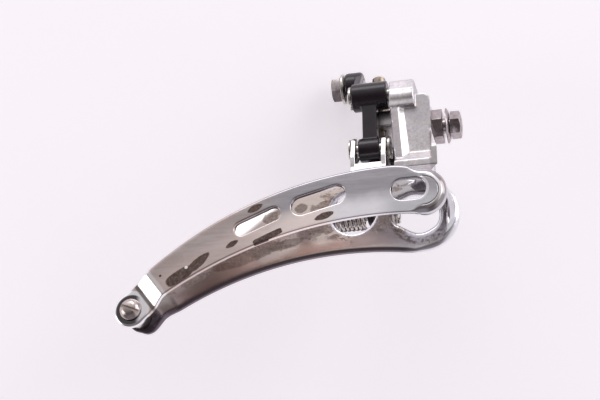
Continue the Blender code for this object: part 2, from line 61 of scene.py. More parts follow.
GAP = 0.3

# ---- places shared with the CAD, in millimetres --------------------------------------------

UPPER_OUTER = (-3.2, 12.2)
UPPER_INNER = (9.3, -5.5)
LOWER_OUTER = (-3.2, -7.4)
LOWER_INNER = (9.3, -25.1)

OUTER_FACE, PLATE_THICK, EAR_STEP = -23.0, 1.5, 3.0
INNER_FACE, INNER_THICK, INNER_EAR_STEP = -9.0, 1.4, -1.6
TAIL = (-94.2, -62.0)
FOLD_LEAN, FOLD = 38.0, (11.3, 5.8)
OUTER_TOP = (-10.7, -144.1, 121.5)
OUTER_BOTTOM = (-12.6, -170.3, 131.7)
INNER_TOP = (-14.5, -143.2, 124.2)
INNER_BOTTOM = (-25.3, -163.0, 118.3)
OUTER_NOSE = (-0.86, -32.13, 7.0)
RING_NOSE = (-3.5, -33.9, 12.0)
SLOT_REAR = ((-57.8, -39.3), (-47.7, -35.3), 2.3)
SLOT_FRONT = ((-38.9, -33.4), (-27.8, -30.7), 3.1)
SLOT_NOSE = ((-7.1, -31.2), (-3.4, -31.2), 3.5)
SPRING_HOLE = (-25.1, -31.3, 7.3)
RING_HOLE = (-4.1, -34.3, 6.6)
EYE_RADIUS = 4.2
PIN_RADIUS, BORE_RADIUS, TAIL_HOLE = 2.2, 2.45, 2.2
BOLT_RADIUS, BOLT_HOLE, BOLT_FLATS, SPACER_FLATS = 2.5, 2.7, 8.0, 10.0
BARREL_RADIUS, LUG_RADIUS, CLAMP_RADIUS = 3.9, 4.6, 5.3

SADDLE_CENTRE, SADDLE_RADIUS = (13.5, 0.0), 14.3
BODY_BACK, BODY_FOOT = -12.4, -17.4
SLAB_TOP, BOSS_TOP = 10.3, 15.6
LIMIT_X, SCREW_Y = -17.8, {"low": 14.9, "high": 4.3}
SHELF_TOP = 8.4
CLAMP = (7.0, 21.8)
HEX_TO_CORNER = 2 / math.sqrt(3)


# ---- mesh helpers ----------------------------------------------------------------------------

def along(axis, flat, height):
    """A point from its two coordinates across an axis and its height along it."""
    if axis == "X":
        return Vector((height, flat[0], flat[1]))
    if axis == "Y":
        return Vector((flat[0], height, flat[1]))
    return Vector((flat[0], flat[1], height))


def box_mm(node):
    low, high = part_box(node)
    return low / MM, high / MM


def to_object(name, shape, fix_normals=True):
    if fix_normals:
        bmesh.ops.recalc_face_normals(shape, faces=shape.faces[:])
    mesh = bpy.data.meshes.new(name)
    shape.to_mesh(mesh)
    shape.free()
    obj = bpy.data.objects.new(name, mesh)
    bpy.context.scene.collection.objects.link(obj)
    return obj


def apply_modifiers(obj):
    """Puts the evaluated mesh in place of the object's own."""
    bpy.context.view_layer.update()
    graph = bpy.context.evaluated_depsgraph_get()
    mesh = bpy.data.meshes.new_from_object(obj.evaluated_get(graph))
    old = obj.data
    obj.modifiers.clear()
    obj.data = mesh
    bpy.data.meshes.remove(old)
    return obj


def merge(name, pieces):
    """One object from the meshes of several, all still in place."""
    shape = bmesh.new()
    for piece in pieces:
        shape.from_mesh(piece.data)
        bpy.data.objects.remove(piece, do_unlink=True)
    return to_object(name, shape, fix_normals=False)


def cut(target, tool, operation="DIFFERENCE"):
    modifier = target.modifiers.new("cut", "BOOLEAN")
    modifier.operation = operation
    modifier.object = tool
    modifier.solver = "EXACT"
    apply_modifiers(target)
    bpy.data.objects.remove(tool, do_unlink=True)


def soften(obj, width, segments=2, angle=30.0):
    """A small round on the sharp edges."""
    bevel = obj.modifiers.new("round", "BEVEL")
    bevel.width = width
    bevel.segments = segments
    bevel.limit_method = "ANGLE"
    bevel.angle_limit = math.radians(angle)
    return apply_modifiers(obj)


def fuse(name, shells, voxel=0.25, rounds=4):
    """Melts overlapping closed shells into one casting with soft corners."""
    casting = merge(name, shells)
    melt = casting.modifiers.new("melt", "REMESH")
    melt.mode = "VOXEL"
    melt.voxel_size = voxel
    relax = casting.modifiers.new("relax", "SMOOTH")
    relax.factor = 0.5
    relax.iterations = rounds
    return apply_modifiers(casting)


def arc(centre, radius, start, end, steps):
    """Points on a circle between two angles in degrees."""
    angles = [math.radians(start + (end - start) * k / steps) for k in range(steps + 1)]
    return [(centre[0] + radius * math.cos(a), centre[1] + radius * math.sin(a)) for a in angles]


def edge_arc(circle, start_x, end_x, steps):
    """Points on the upper side of a large circle between two X values."""
    x, z, radius = circle
    places = [start_x + (end_x - start_x) * k / steps for k in range(steps + 1)]
    return [(here, z + math.sqrt(radius ** 2 - (here - x) ** 2)) for here in places]


def stadium(first, second, radius, steps=14):
    lean = math.degrees(math.atan2(second[1] - first[1], second[0] - first[0]))
    return (arc(first, radius, lean + 90, lean + 270, steps)
            + arc(second, radius, lean - 90, lean + 90, steps))


def fillet(points, radius, steps=4, closed=True):
    """Rounds the corners of an outline or a profile."""
    rounded, count = [], len(points)
    for k, point in enumerate(points):
        corner = Vector(point)
        if not closed and k in (0, count - 1):
            rounded.append(tuple(corner))
            continue
        before = Vector(points[k - 1]) - corner
        after = Vector(points[(k + 1) % count]) - corner
        opening = before.angle(after, math.pi)
        if opening > math.radians(168):
            rounded.append(tuple(corner))
            continue
        reach = min(radius / math.tan(opening / 2), before.length * 0.45, after.length * 0.45)
        start, end = corner + before.normalized() * reach, corner + after.normalized() * reach
        for step in range(steps + 1):
            t = step / steps
            spot = start * (1 - t) ** 2 + corner * (2 * t * (1 - t)) + end * t ** 2
            rounded.append(tuple(spot))
    return rounded


def lathe(name, axis, centre, profile, sides=72, ring=False):
    """A turned shape from (radius, height) points."""
    shape = bmesh.new()
    rows = []
    for radius, height in profile:
        count = 1 if radius < 1e-6 else sides
        turn = [2 * math.pi * k / sides for k in range(count)]
        rows.append([shape.verts.new(along(axis, (centre[0] + radius * math.cos(a),
                                                  centre[1] + radius * math.sin(a)), height))
                     for a in turn])
    pairs = list(zip(rows, rows[1:]))
    if ring:
        pairs.append((rows[-1], rows[0]))
    for low, high in pairs:
        for k in range(sides):
            n = k + 1
            corners = (low[k % len(low)], low[n % len(low)],
                       high[n % len(high)], high[k % len(high)])
            corners = list(dict.fromkeys(corners))
            if len(corners) > 2:
                shape.faces.new(corners)
    return to_object(name, shape)


def rod(name, axis, centre, radius, low, high, edge=0.3, sides=64):
    """A round bar with rounded rims."""
    profile = fillet([(0, low), (radius, low), (radius, high), (0, high)], edge, closed=False)
    return lathe(name, axis, centre, profile, sides)


def tube(name, axis, centre, inner, outer, low, high, edge=0.15, sides=64):
    profile = fillet([(inner, low), (outer, low), (outer, high), (inner, high)], edge)
    return lathe(name, axis, centre, profile, sides, ring=True)


def prism(name, outline, axis, low, high, edge=0.25, segments=3, top=None):
    """A flat outline, in the two coordinates across an axis, with rounded rims.

    'top' is the outline at the high end where that differs.
    """
    shape = bmesh.new()
    floor = [shape.verts.new(along(axis, point, low)) for point in outline]
    roof = [shape.verts.new(along(axis, point, high)) for point in top or outline]
    shape.faces.new(floor)
    shape.faces.new(list(reversed(roof)))
    count = len(outline)
    for k in range(count):
        n = (k + 1) % count
        shape.faces.new((floor[k], roof[k], roof[n], floor[n]))
    solid = to_object(name, shape)
    if edge:
        soften(solid, edge, segments, 32)
    return solid


def block(name, low, high, edge=0.0):
    outline = [(low[0], low[1]), (high[0], low[1]), (high[0], high[1]), (low[0], high[1])]
    return prism(name, outline, "Z", low[2], high[2], edge)


def hexagon(centre, flats, turn):
    return arc(centre, flats / 2 * HEX_TO_CORNER, turn, turn + 300, 5)


def hex_solid(name, centre, flats, low, high, turn, chamfer_low=False, chamfer_high=False):
    """A hexagon bar along X whose ends are turned down to a 30 degree chamfer."""
    solid = prism(name, hexagon(centre, flats, turn), "X", low, high, 0)
    corner = flats / 2 * HEX_TO_CORNER + 0.05
    flat_rim = flats / 2 * 0.965
    drop = (corner - flat_rim) * math.tan(math.radians(30))
    profile = [(0, low)]
    profile += [(flat_rim, low), (corner, low + drop)] if chamfer_low else [(corner, low - 1)]
    profile += [(corner, high - drop), (flat_rim, high)] if chamfer_high else [(corner, high + 1)]
    profile += [(0, high if chamfer_high else high + 1)]
    if not chamfer_low:
        profile[0] = (0, low - 1)
    cut(solid, lathe("turned", "X", centre, profile, 96), "INTERSECT")
    return soften(solid, 0.12, 2, 18)


def sweep(name, points, radius, sides=12):
    """A round wire along a list of points, with closed ends."""
    path = np.array(points, float)
    way = np.gradient(path, axis=0)
    way /= np.linalg.norm(way, axis=1)[:, None]
    shape = bmesh.new()
    normal = np.cross(way[0], (0.31, 0.52, 0.79))
    rings = []
    for here, forward in zip(path, way):
        normal = normal - forward * (normal @ forward)
        normal /= np.linalg.norm(normal)
        side = np.cross(forward, normal)
        turns = [2 * math.pi * k / sides for k in range(sides)]
        rings.append([shape.verts.new(here + radius * (normal * math.cos(a) + side * math.sin(a)))
                      for a in turns])
    for low, high in zip(rings, rings[1:]):
        for k in range(sides):
            n = (k + 1) % sides
            shape.faces.new((low[k], low[n], high[n], high[k]))
    shape.faces.new(rings[0])
    shape.faces.new(rings[-1])
    return to_object(name, shape)


def coil(axis, centre, radius, low, high, turns, start=0.0, dead=0.0, per_turn=28):
    """Points of a coil; 'dead' is the share of a turn that lies flat at each end."""
    count = int(turns * per_turn)
    points = []
    for step in range(count + 1):
        turn = step / per_turn
        rise = (min(max(turn - dead, 0.0), turns - 2 * dead)) / (turns - 2 * dead)
        angle = math.radians(start) + 2 * math.pi * turn
        flat = (centre[0] + radius * math.cos(angle), centre[1] + radius * math.sin(angle))
        points.append(along(axis, flat, low + (high - low) * rise))
    return points


def place(obj, look, slot, body, *nodes, sharp=34.0):
    """Brings a finished piece to metres, dresses it and puts it on its body."""
    obj.data.transform(Matrix.Scale(MM, 4))
    obj.data.materials.clear()
    obj.data.materials.append(look)
    obj.data.shade_smooth()
    obj.data.set_sharp_from_angle(angle=math.radians(sharp))
    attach(obj, body)
    if nodes:
        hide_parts(*nodes)
    return obj


# ---- pressed sheets ----------------------------------------------------------------------------

def resample(loop, step):
    """The same closed loop with points about one step apart."""
    points = []
    for k, first in enumerate(loop):
        second = loop[(k + 1) % len(loop)]
        length = math.dist(first, second)
        parts = max(1, round(length / step))
        for part in range(parts):
            t = part / parts
            points.append((first[0] + (second[0] - first[0]) * t,
                           first[1] + (second[1] - first[1]) * t))
    return np.array(points)


def loop_normals(loop):
    """Unit vectors that point to the left of a closed loop."""
    way = np.roll(loop, -1, axis=0) - np.roll(loop, 1, axis=0)
    way /= np.linalg.norm(way, axis=1)[:, None]
    return np.stack((-way[:, 1], way[:, 0]), axis=1)


def signed_area(loop):
    after = np.roll(loop, -1, axis=0)
    return 0.5 * float((loop[:, 0] * after[:, 1] - after[:, 0] * loop[:, 1]).sum())


def nearest(points, loop):
    """Distance of each point to a closed loop, and the index of the loop point it is near."""
    after = np.roll(loop, -1, axis=0) - loop
    square = (after ** 2).sum(1) + 1e-12
    distance, index = np.empty(len(points)), np.empty(len(points), int)
    for start in range(0, len(points), 800):
        here = points[start:start + 800, None, :] - loop[None]
        t = np.clip((here * after[None]).sum(2) / square, 0, 1)
        gap = np.linalg.norm(here - after[None] * t[:, :, None], axis=2)
        index[start:start + 800] = gap.argmin(1)
        distance[start:start + 800] = gap.min(1)
    return distance, index


def inside(points, loop):
    after = np.roll(loop, -1, axis=0)
    odd = np.zeros(len(points), bool)
    for (x1, z1), (x2, z2) in zip(loop, after):
        crosses = (z1 > points[:, 1]) != (z2 > points[:, 1])
        reach = (x2 - x1) * (points[:, 1] - z1) / (z2 - z1 + 1e-15) + x1
        odd ^= crosses & (points[:, 0] < reach)
    return odd


def sheet(name, loops, base, thick, roll, corner=0.25, step=0.55, spacing=0.7):
    """A pressed plate across Y.

    loops are the outline and then the holes, base(x, z) is the front's Y, and
    roll(loop number, x, z) is the radius and the end angle of the edge's roll.
    """
    rings, rolls = [], []
    for number, loop in enumerate(loops):
        ring = resample(loop, step)
        if (signed_area(ring) > 0) == (number > 0):
            ring = ring[::-1].copy()
        rings.append(ring)
        rolls.append(roll(number, ring[:, 0], ring[:, 1]))
    points, edges = [], []
    for ring, (radius, angle) in zip(rings, rolls):
        normals = loop_normals(ring)
        width = radius * np.sin(angle)
        rows = [0 * width + corner * share for share in (0, 0.12, 0.45, 1)]
        rows += [corner + (width - corner) * share for share in (0.12, 0.3, 0.52, 0.76, 1.0)]
        previous = None
        for row in rows:
            if previous is not None and float((row - previous).max()) < 0.05:
                continue
            previous = row
            first = len(points)
            points.extend((ring + normals * row[:, None]).tolist())
            count = len(ring)
            edges.extend((first + k, first + (k + 1) % count) for k in range(count))
    low, high = rings[0].min(0), rings[0].max(0)
    across, up = np.meshgrid(np.arange(low[0], high[0], spacing),
                             np.arange(low[1], high[1], spacing * 0.866))
    across = across + (np.arange(across.shape[0]) % 2)[:, None] * spacing / 2
    grid = np.stack((across.ravel(), up.ravel()), axis=1)
    grid = grid[inside(grid, rings[0])]
    for number, (ring, (radius, angle)) in enumerate(zip(rings, rolls)):
        distance, index = nearest(grid, ring)
        clear = distance > np.maximum((radius * np.sin(angle))[index], corner) + spacing * 0.35
        if number:
            clear &= ~inside(grid, ring)
        grid = grid[clear]
    points.extend(grid.tolist())
    found = geometry.delaunay_2d_cdt([Vector(p) for p in points], edges, [], 0, 1e-4)
    flat = np.array([tuple(v) for v in found[0]])
    triangles = np.array([f for f in found[2] if len(f) == 3])
    middle = flat[triangles].mean(1)
    keep = inside(middle, rings[0])
    for ring in rings[1:]:
        keep &= ~inside(middle, ring)
    triangles = triangles[keep]
    front = base(flat[:, 0], flat[:, 1])
    rounding = np.zeros(len(flat))
    for ring, (radius, angle) in zip(rings, rolls):
        distance, index = nearest(flat, ring)
        r, a = radius[index], angle[index]
        into = np.clip(r * np.sin(a) - distance, 0, r)
        front += r - np.sqrt(np.maximum(r ** 2 - into ** 2, 0))
        near = np.clip(corner - distance, 0, corner)
        rounding = np.maximum(rounding, corner - np.sqrt(corner ** 2 - near ** 2))
    back = front + thick - rounding
    front = front + rounding
    return stitch(name, flat, triangles, front, back)


def stitch(name, flat, triangles, front, back):
    """Closes two faces that share one flat triangulation with a wall along their borders."""
    used = np.unique(triangles)
    number = {int(k): i for i, k in enumerate(used)}
    shape = bmesh.new()
    near = [shape.verts.new((flat[k, 0], front[k], flat[k, 1])) for k in used]
    far = [shape.verts.new((flat[k, 0], back[k], flat[k, 1])) for k in used]
    border = {}
    for a, b, c in triangles:
        a, b, c = number[int(a)], number[int(b)], number[int(c)]
        if (flat[used[b]] - flat[used[a]])[0] * (flat[used[c]] - flat[used[a]])[1] < (
                flat[used[b]] - flat[used[a]])[1] * (flat[used[c]] - flat[used[a]])[0]:
            b, c = c, b
        shape.faces.new((near[a], near[b], near[c]))
        shape.faces.new((far[a], far[c], far[b]))
        for first, second in ((a, b), (b, c), (c, a)):
            if not border.pop((second, first), False):
                border[(first, second)] = True
    for first, second in border:
        shape.faces.new((near[second], near[first], far[first], far[second]))
    return to_object(name, shape, fix_normals=False)


def smoothstep(t):
    t = np.clip(t, 0, 1)
    return t * t * (3 - 2 * t)


def stepped_face(face, step, soft=0.12):
    """The front of a plate that steps sideways across a fold near its tail."""
    lean = math.radians(FOLD_LEAN)

    def base(x, z):
        forward = (x - TAIL[0]) * math.cos(lean) + (z - TAIL[1]) * math.sin(lean)
        start, end = FOLD[0] + 0.35, FOLD[1] - 0.35
        share = np.clip((start - forward) / (start - end), 0, 1)
        ramp = np.where(share < soft, share ** 2 / (2 * soft), share - soft / 2)
        over = np.clip(share - (1 - soft), 0, soft)
        return face + step * (ramp - over ** 2 / (2 * soft)) / (1 - soft)

    return base


# ---- looks -------------------------------------------------------------------------------------

class Field:
    """A value from a shader node; arithmetic on it adds math nodes."""

    def __init__(self, graph, socket):
        self.graph, self.socket = graph, socket

    def operate(self, operation, *others):
        return self.graph.node("ShaderNodeMath", dict(enumerate((self, *others))),
                               operation=operation)

    __add__ = partialmethod(operate, "ADD")
    __sub__ = partialmethod(operate, "SUBTRACT")
    __mul__ = partialmethod(operate, "MULTIPLY")
    __truediv__ = partialmethod(operate, "DIVIDE")
    __pow__ = partialmethod(operate, "POWER")
    __or__ = partialmethod(operate, "MAXIMUM")
    __abs__ = partialmethod(operate, "ABSOLUTE")

    def __rsub__(self, other):
        return self.graph.node("ShaderNodeMath", {0: other, 1: self}, operation="SUBTRACT")

    def rise(self, low, high):
        """0 at low and 1 at high, smoothly; low may be the greater of the two."""
        return self.graph.node("ShaderNodeMapRange",
                               {"Value": self, "From Min": low, "From Max": high},
                               interpolation_type="SMOOTHSTEP")


class Graph:
    """The nodes of one shader tree."""

    def __init__(self, tree):
        self.tree = tree

    def put(self, value, socket):
        if isinstance(value, Field):
            value = value.socket
        if isinstance(value, bpy.types.NodeSocket):
            self.tree.links.new(value, socket)
        elif socket.type == "RGBA":
            socket.default_value = (*value, 1.0)
        else:
            socket.default_value = value

    def node(self, kind, inputs, output=0, **settings):
        node = self.tree.nodes.new(kind)
        for key, value in settings.items():
            setattr(node, key, value)
        for key, value in inputs.items():
            self.put(value, node.inputs[key])
        return Field(self, node.outputs[output])

    def split(self, vector):
        """The three coordinates of a vector."""
        node = self.node("ShaderNodeSeparateXYZ", {0: vector}).socket.node
        return [Field(self, socket) for socket in node.outputs]

    def mix(self, share, first, second):
        return self.node("ShaderNodeMix", {0: share, 6: first, 7: second}, 2, data_type="RGBA")

    def ramp(self, share, stops):
        colours = self.node("ShaderNodeValToRGB", {0: share})
        elements = colours.socket.node.color_ramp.elements
        while len(elements) < len(stops):
            elements.new(0.5)
        for element, (position, colour) in zip(elements, stops):
            element.position = position
            element.color = (*colour, 1.0)
        return colours


class Look(Graph):
    """A metal whose textures read the object's own coordinates, in millimetres."""

    def __init__(self, name, metallic=1.0):
        self.material = bpy.data.materials.new(name)
        self.material.use_nodes = True
        super().__init__(self.material.node_tree)
        self.shader = self.tree.nodes["Principled BSDF"].inputs
        self.shader["Metallic"].default_value = metallic
        coordinates = self.tree.nodes.new("ShaderNodeTexCoord").outputs
        self.where = self.node("ShaderNodeVectorMath", {0: coordinates["Object"], "Scale": 1 / MM},
                               operation="SCALE")
        self.normal = coordinates["Normal"]
        self.x, self.y, self.z = self.split(self.where)
        self.tone = None

    def noise(self, scale, detail=3.0, roughness=0.55, stretch=(1, 1, 1), seed=0.0):
        """Noise whose scale is in waves for each millimetre."""
        where = self.node("ShaderNodeMapping",
                          {"Vector": self.where, "Location": (seed, seed * 0.7, seed * 1.3),
                           "Scale": stretch})
        return self.node("ShaderNodeTexNoise", {"Vector": where, "Scale": scale, "Detail": detail,
                                                "Roughness": roughness})

    def cells(self, scale, seed):
        where = self.node("ShaderNodeVectorMath", {0: self.where, 1: (seed, seed, seed)},
                          operation="ADD")
        return self.node("ShaderNodeTexVoronoi", {"Vector": where, "Scale": scale})

    def facing(self):
        return self.split(self.normal)

    def convex_edges(self, low, high):
        """Convex edges, from the pointiness of the mesh."""
        return self.node("ShaderNodeNewGeometry", {}, "Pointiness").rise(low, high)

    def ring(self, circle, radius=None):
        """Distance outwards from a circle in the XZ plane, in millimetres."""
        flat = self.node("ShaderNodeCombineXYZ", {0: self.x, 1: 0.0, 2: self.z})
        away = self.node("ShaderNodeVectorMath", {0: flat, 1: (circle[0], 0.0, circle[1])}, 1,
                         operation="DISTANCE")
        return away - (circle[2] if radius is None else radius)

    def patch(self, centre, long, wide, lean, power=2.0, ragged=0.25, edge=0.12, seed=0.0):
        """1 inside an oval stain in the XZ plane with a slightly ragged rim."""
        x, _, z = self.split(self.node("ShaderNodeVectorRotate",
                                       {"Vector": self.where, "Center": (centre[0], 0, centre[1]),
                                        "Angle": math.radians(lean)}, rotation_type="Y_AXIS"))
        size = abs((x - centre[0]) / long) ** power + abs((z - centre[1]) / wide) ** power
        rough = (self.noise(0.9, 3, seed=seed) - 0.5) * (ragged * 2)
        return (size + rough).rise(1.0 + edge, 1.0 - edge)

    def paint(self, mask, colour):
        self.tone = self.mix(mask, self.tone, colour)

    def finish(self, roughness, *bumps):
        """Sets colour, roughness and bumps of (height, strength, depth in millimetres)."""
        self.put(self.tone, self.shader["Base Color"])
        self.put(roughness, self.shader["Roughness"])
        under = {}
        for height, strength, depth in bumps:
            under["Normal"] = self.node("ShaderNodeBump", {"Height": height, "Strength": strength,
                                                           "Distance": depth * MM, **under})
        self.put(under["Normal"], self.shader["Normal"])
        return self.material


def fold_distance(look):
    """How far a place lies from the tail screw, along the line that crosses the plates' fold."""
    lean = math.radians(FOLD_LEAN)
    return (look.x - TAIL[0]) * math.cos(lean) + (look.z - TAIL[1]) * math.sin(lean)


def mottle_height(look):
    return look.noise(2.2, 4, 0.7, seed=6.0)


def shade(tint, share):
    return tuple(value * share for value in tint)


# stains on the outer plate: centre (x, z), half length, half width, lean, squareness
OUTER_STAINS = [
    ((-53.5, -32.9), 2.7, 1.15, 24.0, 1.5),
    ((-49.4, -42.8), 4.9, 1.0, 22.0, 6.0),
    ((-60.7, -44.2), 2.3, 0.95, 28.0, 1.5),
    ((-31.5, -37.6), 3.2, 1.15, 17.0, 1.7),
    ((-71.8, -49.6), 4.8, 1.55, 40.0, 1.8),
    ((-77.6, -53.3), 4.7, 1.9, 30.0, 3.0),
    ((-83.8, -52.7), 0.45, 0.4, 0.0, 2.0),
]


def outer_chrome():
    """Polished chrome with brushed grain; painted reflections make it cool at the top and warm along
    the lower edge and tail.
    """
    look = Look("outer_chrome")
    x, z = look.x, look.z
    grain = look.noise(1.4, 6, 0.7, stretch=(0.10, 1, 1.6))
    # painted reflections: a cool band above, a bright warm band below
    wavering = look.ring(OUTER_BOTTOM) + (look.noise(0.06, 3, 0.6, seed=4.0) - 0.5) * 7.0
    to_tail = x.rise(-38.0, -66.0)
    lower_reflection = look.mix(to_tail, (1.0, 0.86, 0.81), (0.66, 0.54, 0.50))
    lower_reflection = look.mix(x.rise(-34.0, -26.0), lower_reflection, (0.98, 0.96, 1.0))
    lower_reflection = look.mix(x.rise(-17.0, -8.0), lower_reflection, (0.66, 0.655, 0.69))
    look.tone = look.mix(to_tail, (0.41, 0.395, 0.425), (0.50, 0.425, 0.40))
    look.paint(wavering.rise(9.5, 3.0), lower_reflection)
    streak = look.noise(0.5, 5, 0.65, stretch=(0.12, 1, 1.0), seed=9.0).rise(0.38, 0.68)
    look.paint(streak * 0.20, (0.86, 0.85, 0.88))
    front = look.y.rise(-21.6, -22.2)
    stains = [look.patch(*stain, seed=3.1 * k + 1) for k, stain in enumerate(OUTER_STAINS)]
    stains = reduce(lambda first, second: first | second, stains) * front
    mottle = look.ramp(look.noise(1.7, 5, 0.7, seed=2.0),
                       [(0.3, (0.055, 0.040, 0.036)), (0.55, (0.16, 0.115, 0.10)),
                        (0.8, (0.36, 0.29, 0.27))])
    look.paint(stains, mottle)
    specks = look.cells(0.55, 2.0).rise(0.10, 0.05) * look.noise(0.25, 2, seed=7.0).rise(0.56, 0.62)
    look.paint(specks * 0.7, (0.10, 0.07, 0.06))
    # the dished ear round the tail screw, and the fold beside it: painted highlights on the ear with
    # painted shade at the rear of its seat, a painted shade line in the fold's crease and a painted
    # highlight on the fold's ramp
    ear_centre_light_and_shade = look.mix(x.rise(TAIL[0] + 3.4, TAIL[0] + 1.4), (0.97, 0.96, 0.98),
                          (0.10, 0.095, 0.10))
    ear_light_and_shade = look.mix(look.ring(TAIL, 4.8).rise(-0.2, 0.2), ear_centre_light_and_shade, (0.98, 0.97, 0.99))
    look.paint(look.ring(TAIL, 6.2).rise(0.3, -0.3), ear_light_and_shade)
    forward = fold_distance(look)
    look.paint(forward.rise(4.9, 5.4) * forward.rise(6.6, 5.9) * 0.75, (0.13, 0.12, 0.125))
    look.paint(forward.rise(12.6, 11.2) * forward.rise(6.0, 7.4), (1.0, 0.985, 1.0))
    # the groove where the rolled nose begins: a painted shade line, also pressed in as a bump
    nose_x = OUTER_NOSE[0]
    groove = (abs(look.ring(OUTER_NOSE, 4.75)).rise(0.26, 0.08) * front
              * x.rise(nose_x - 1.2, nose_x + 0.6))
    look.paint(groove * 0.75, (0.10, 0.085, 0.08))
    look.paint(look.patch((-75.4, -50.6), 0.55, 0.5, 30.0), (1.0, 0.98, 0.97))
    # the rolled nose: a painted highlight beside the groove, painted brown shade at its flank, a
    # painted highlight at the slot's end
    from_nose, around = look.ring(OUTER_NOSE, 0.0), x.rise(nose_x + 0.2, nose_x + 2.0)
    crest_highlight = around * from_nose.rise(4.9, 5.1) * from_nose.rise(6.0, 5.6)
    flank_shade = around * from_nose.rise(5.7, 6.0) * from_nose.rise(6.9, 6.7) * z.rise(-25.5, -29.0)
    look.paint(crest_highlight * 0.8, (0.97, 0.96, 0.99))
    look.paint(flank_shade * 0.7, (0.20, 0.155, 0.14))
    slot_end = SLOT_NOSE[1]
    rim = look.ring(slot_end, 4.0)
    crescent_highlight = (rim.rise(0.7, 0.3) * rim.rise(-0.4, -0.1)
                * x.rise(slot_end[0] + 0.6, slot_end[0] + 2.4))
    look.paint(crescent_highlight * 0.6, (0.95, 0.94, 0.97))
    return look.finish(grain * 0.10 + 0.13 + stains * 0.22, (grain, 0.10, 0.03),
                       (look.noise(0.35, 2, seed=5.0), 0.16, 0.12), (groove * -1.0, 0.8, 0.12),
                       (stains * mottle_height(look), 0.5, 0.04))


# stains on the inner plate: centre (x, z), half length, half width, lean, strength, seed
INNER_STAINS = [
    ((-52.2, -30.8), 2.8, 2.0, 20.0, 0.75, 31.0),
    ((-30.6, -26.6), 2.2, 1.4, 10.0, 0.95, 33.0),
    ((-42.0, -28.4), 2.2, 1.6, 15.0, 0.8, 35.0),
    ((-60.0, -43.2), 12.5, 2.6, 17.0, 0.75, 37.0),
    ((-47.0, -40.4), 6.0, 1.5, 12.0, 0.6, 39.0),
    ((-39.0, -37.0), 4.5, 2.2, 8.0, 0.55, 41.0),
]


def inner_chrome():
    """The inner plate: duller chrome with brown mottling and specks of rust, painted reflections and
    highlights on its lower band, top edge, tab and rims, and painted shade on the rolled lip and the
    tail.
    """
    look = Look("inner_chrome")
    x, z, height = look.x, look.z, look.ring(INNER_BOTTOM)
    grain = look.noise(1.2, 6, 0.7, stretch=(0.10, 1, 1.4), seed=1.0)
    look.tone = look.mix(x.rise(-40.0, -75.0), (0.82, 0.71, 0.66), (0.46, 0.39, 0.375))
    # a painted bright warm reflection band above the lower lip
    look.paint(height.rise(1.2, 2.0) * height.rise(5.4, 4.0) * x.rise(-55.0, -38.0),
               (1.0, 0.85, 0.79))
    look.paint(x.rise(-22.0, -8.0), (0.66, 0.64, 0.66))
    # mottling above the lower band, fainter on the back
    patches = look.noise(0.19, 5, 0.66, stretch=(0.6, 1, 1.2), seed=12.0).rise(0.50, 0.58)
    dirt = patches * height.rise(4.6, 5.6) * (look.facing()[1].rise(0.1, -0.2) * 0.75 + 0.25)
    fine = look.ramp(look.noise(1.3, 5, 0.75, seed=3.0),
                     [(0.30, (0.10, 0.065, 0.05)), (0.55, (0.30, 0.24, 0.215)),
                      (0.8, (0.5, 0.45, 0.43))])
    look.paint(dirt * 0.8, fine)
    specks = (look.cells(0.42, 5.0).rise(0.20, 0.08)
              * look.noise(0.20, 3, seed=8.0).rise(0.50, 0.58) * height.rise(3.0, 5.0))
    look.paint(specks * 0.85, (0.085, 0.045, 0.03))
    rust = (look.ring(SPRING_HOLE).rise(5.0, 1.5)
            * look.noise(0.8, 4, 0.7, seed=15.0).rise(0.52, 0.60) * x.rise(-24.0, -27.0))
    look.paint(rust * 0.8, (0.27, 0.11, 0.045))
    # a painted highlight along the top edge, where the plate leans back
    strip = x.rise(-44.0, -64.0) * 5.3 + 2.2
    top_edge_highlight = ((look.ring(INNER_TOP) * -1.0 - strip).rise(1.0, -0.8) * x.rise(-28.0, -33.0)
             * x.rise(-72.0, -66.0))
    look.paint(top_edge_highlight * 0.92, (0.97, 0.95, 0.97))
    for centre, long, wide, lean, share, seed in INNER_STAINS:
        look.paint(look.patch(centre, long, wide, lean, 2.0, 0.6, 0.2, seed) * share, fine)
    # a painted reflection making the leaning pivot tab pale
    look.paint(z.rise(-19.6, -18.4) * x.rise(-28.0, -26.5), (0.90, 0.88, 0.90))
    near_ring = (look.ring(RING_NOSE, 9.6).rise(1.1, 0.2) * look.ring(RING_NOSE, 7.6).rise(-0.4, 0.5)
                 * z.rise(-31.0, -35.0))
    look.paint(near_ring * look.noise(0.55, 4, 0.7, seed=19.0).rise(0.44, 0.56) * 0.85, fine)
    # painted shade darkening the tail
    forward = fold_distance(look)
    tail_shade = look.mix(forward.rise(6.5, 4.5), (0.27, 0.235, 0.23), (0.12, 0.10, 0.11))
    look.paint(forward.rise(13.0, 10.5), tail_shade)
    # painted highlights on the rolled rims and the ring's outer edge, and painted shade on the lip
    # along the lower edge
    rim_highlights = (abs(look.ring(SPRING_HOLE)).rise(1.2, 0.9)
            | x.rise(-9.5, -7.5) * look.ring(RING_HOLE).rise(1.3, 0.9))
    look.paint(rim_highlights * 0.85, (0.86, 0.85, 0.92))
    look.paint(look.ring(RING_NOSE).rise(-1.7, -1.2) * x.rise(-7.0, -3.0), (0.78, 0.77, 0.82))
    look.paint(height.rise(1.25, 0.75) * x.rise(-4.0, -10.0) * 0.86, (0.17, 0.14, 0.17))
    return look.finish(grain * 0.14 + 0.16 + dirt * 0.2, (grain, 0.12, 0.03),
                       (look.noise(0.3, 2, seed=5.0), 0.2, 0.14),
                       (dirt * mottle_height(look), 0.5, 0.05))


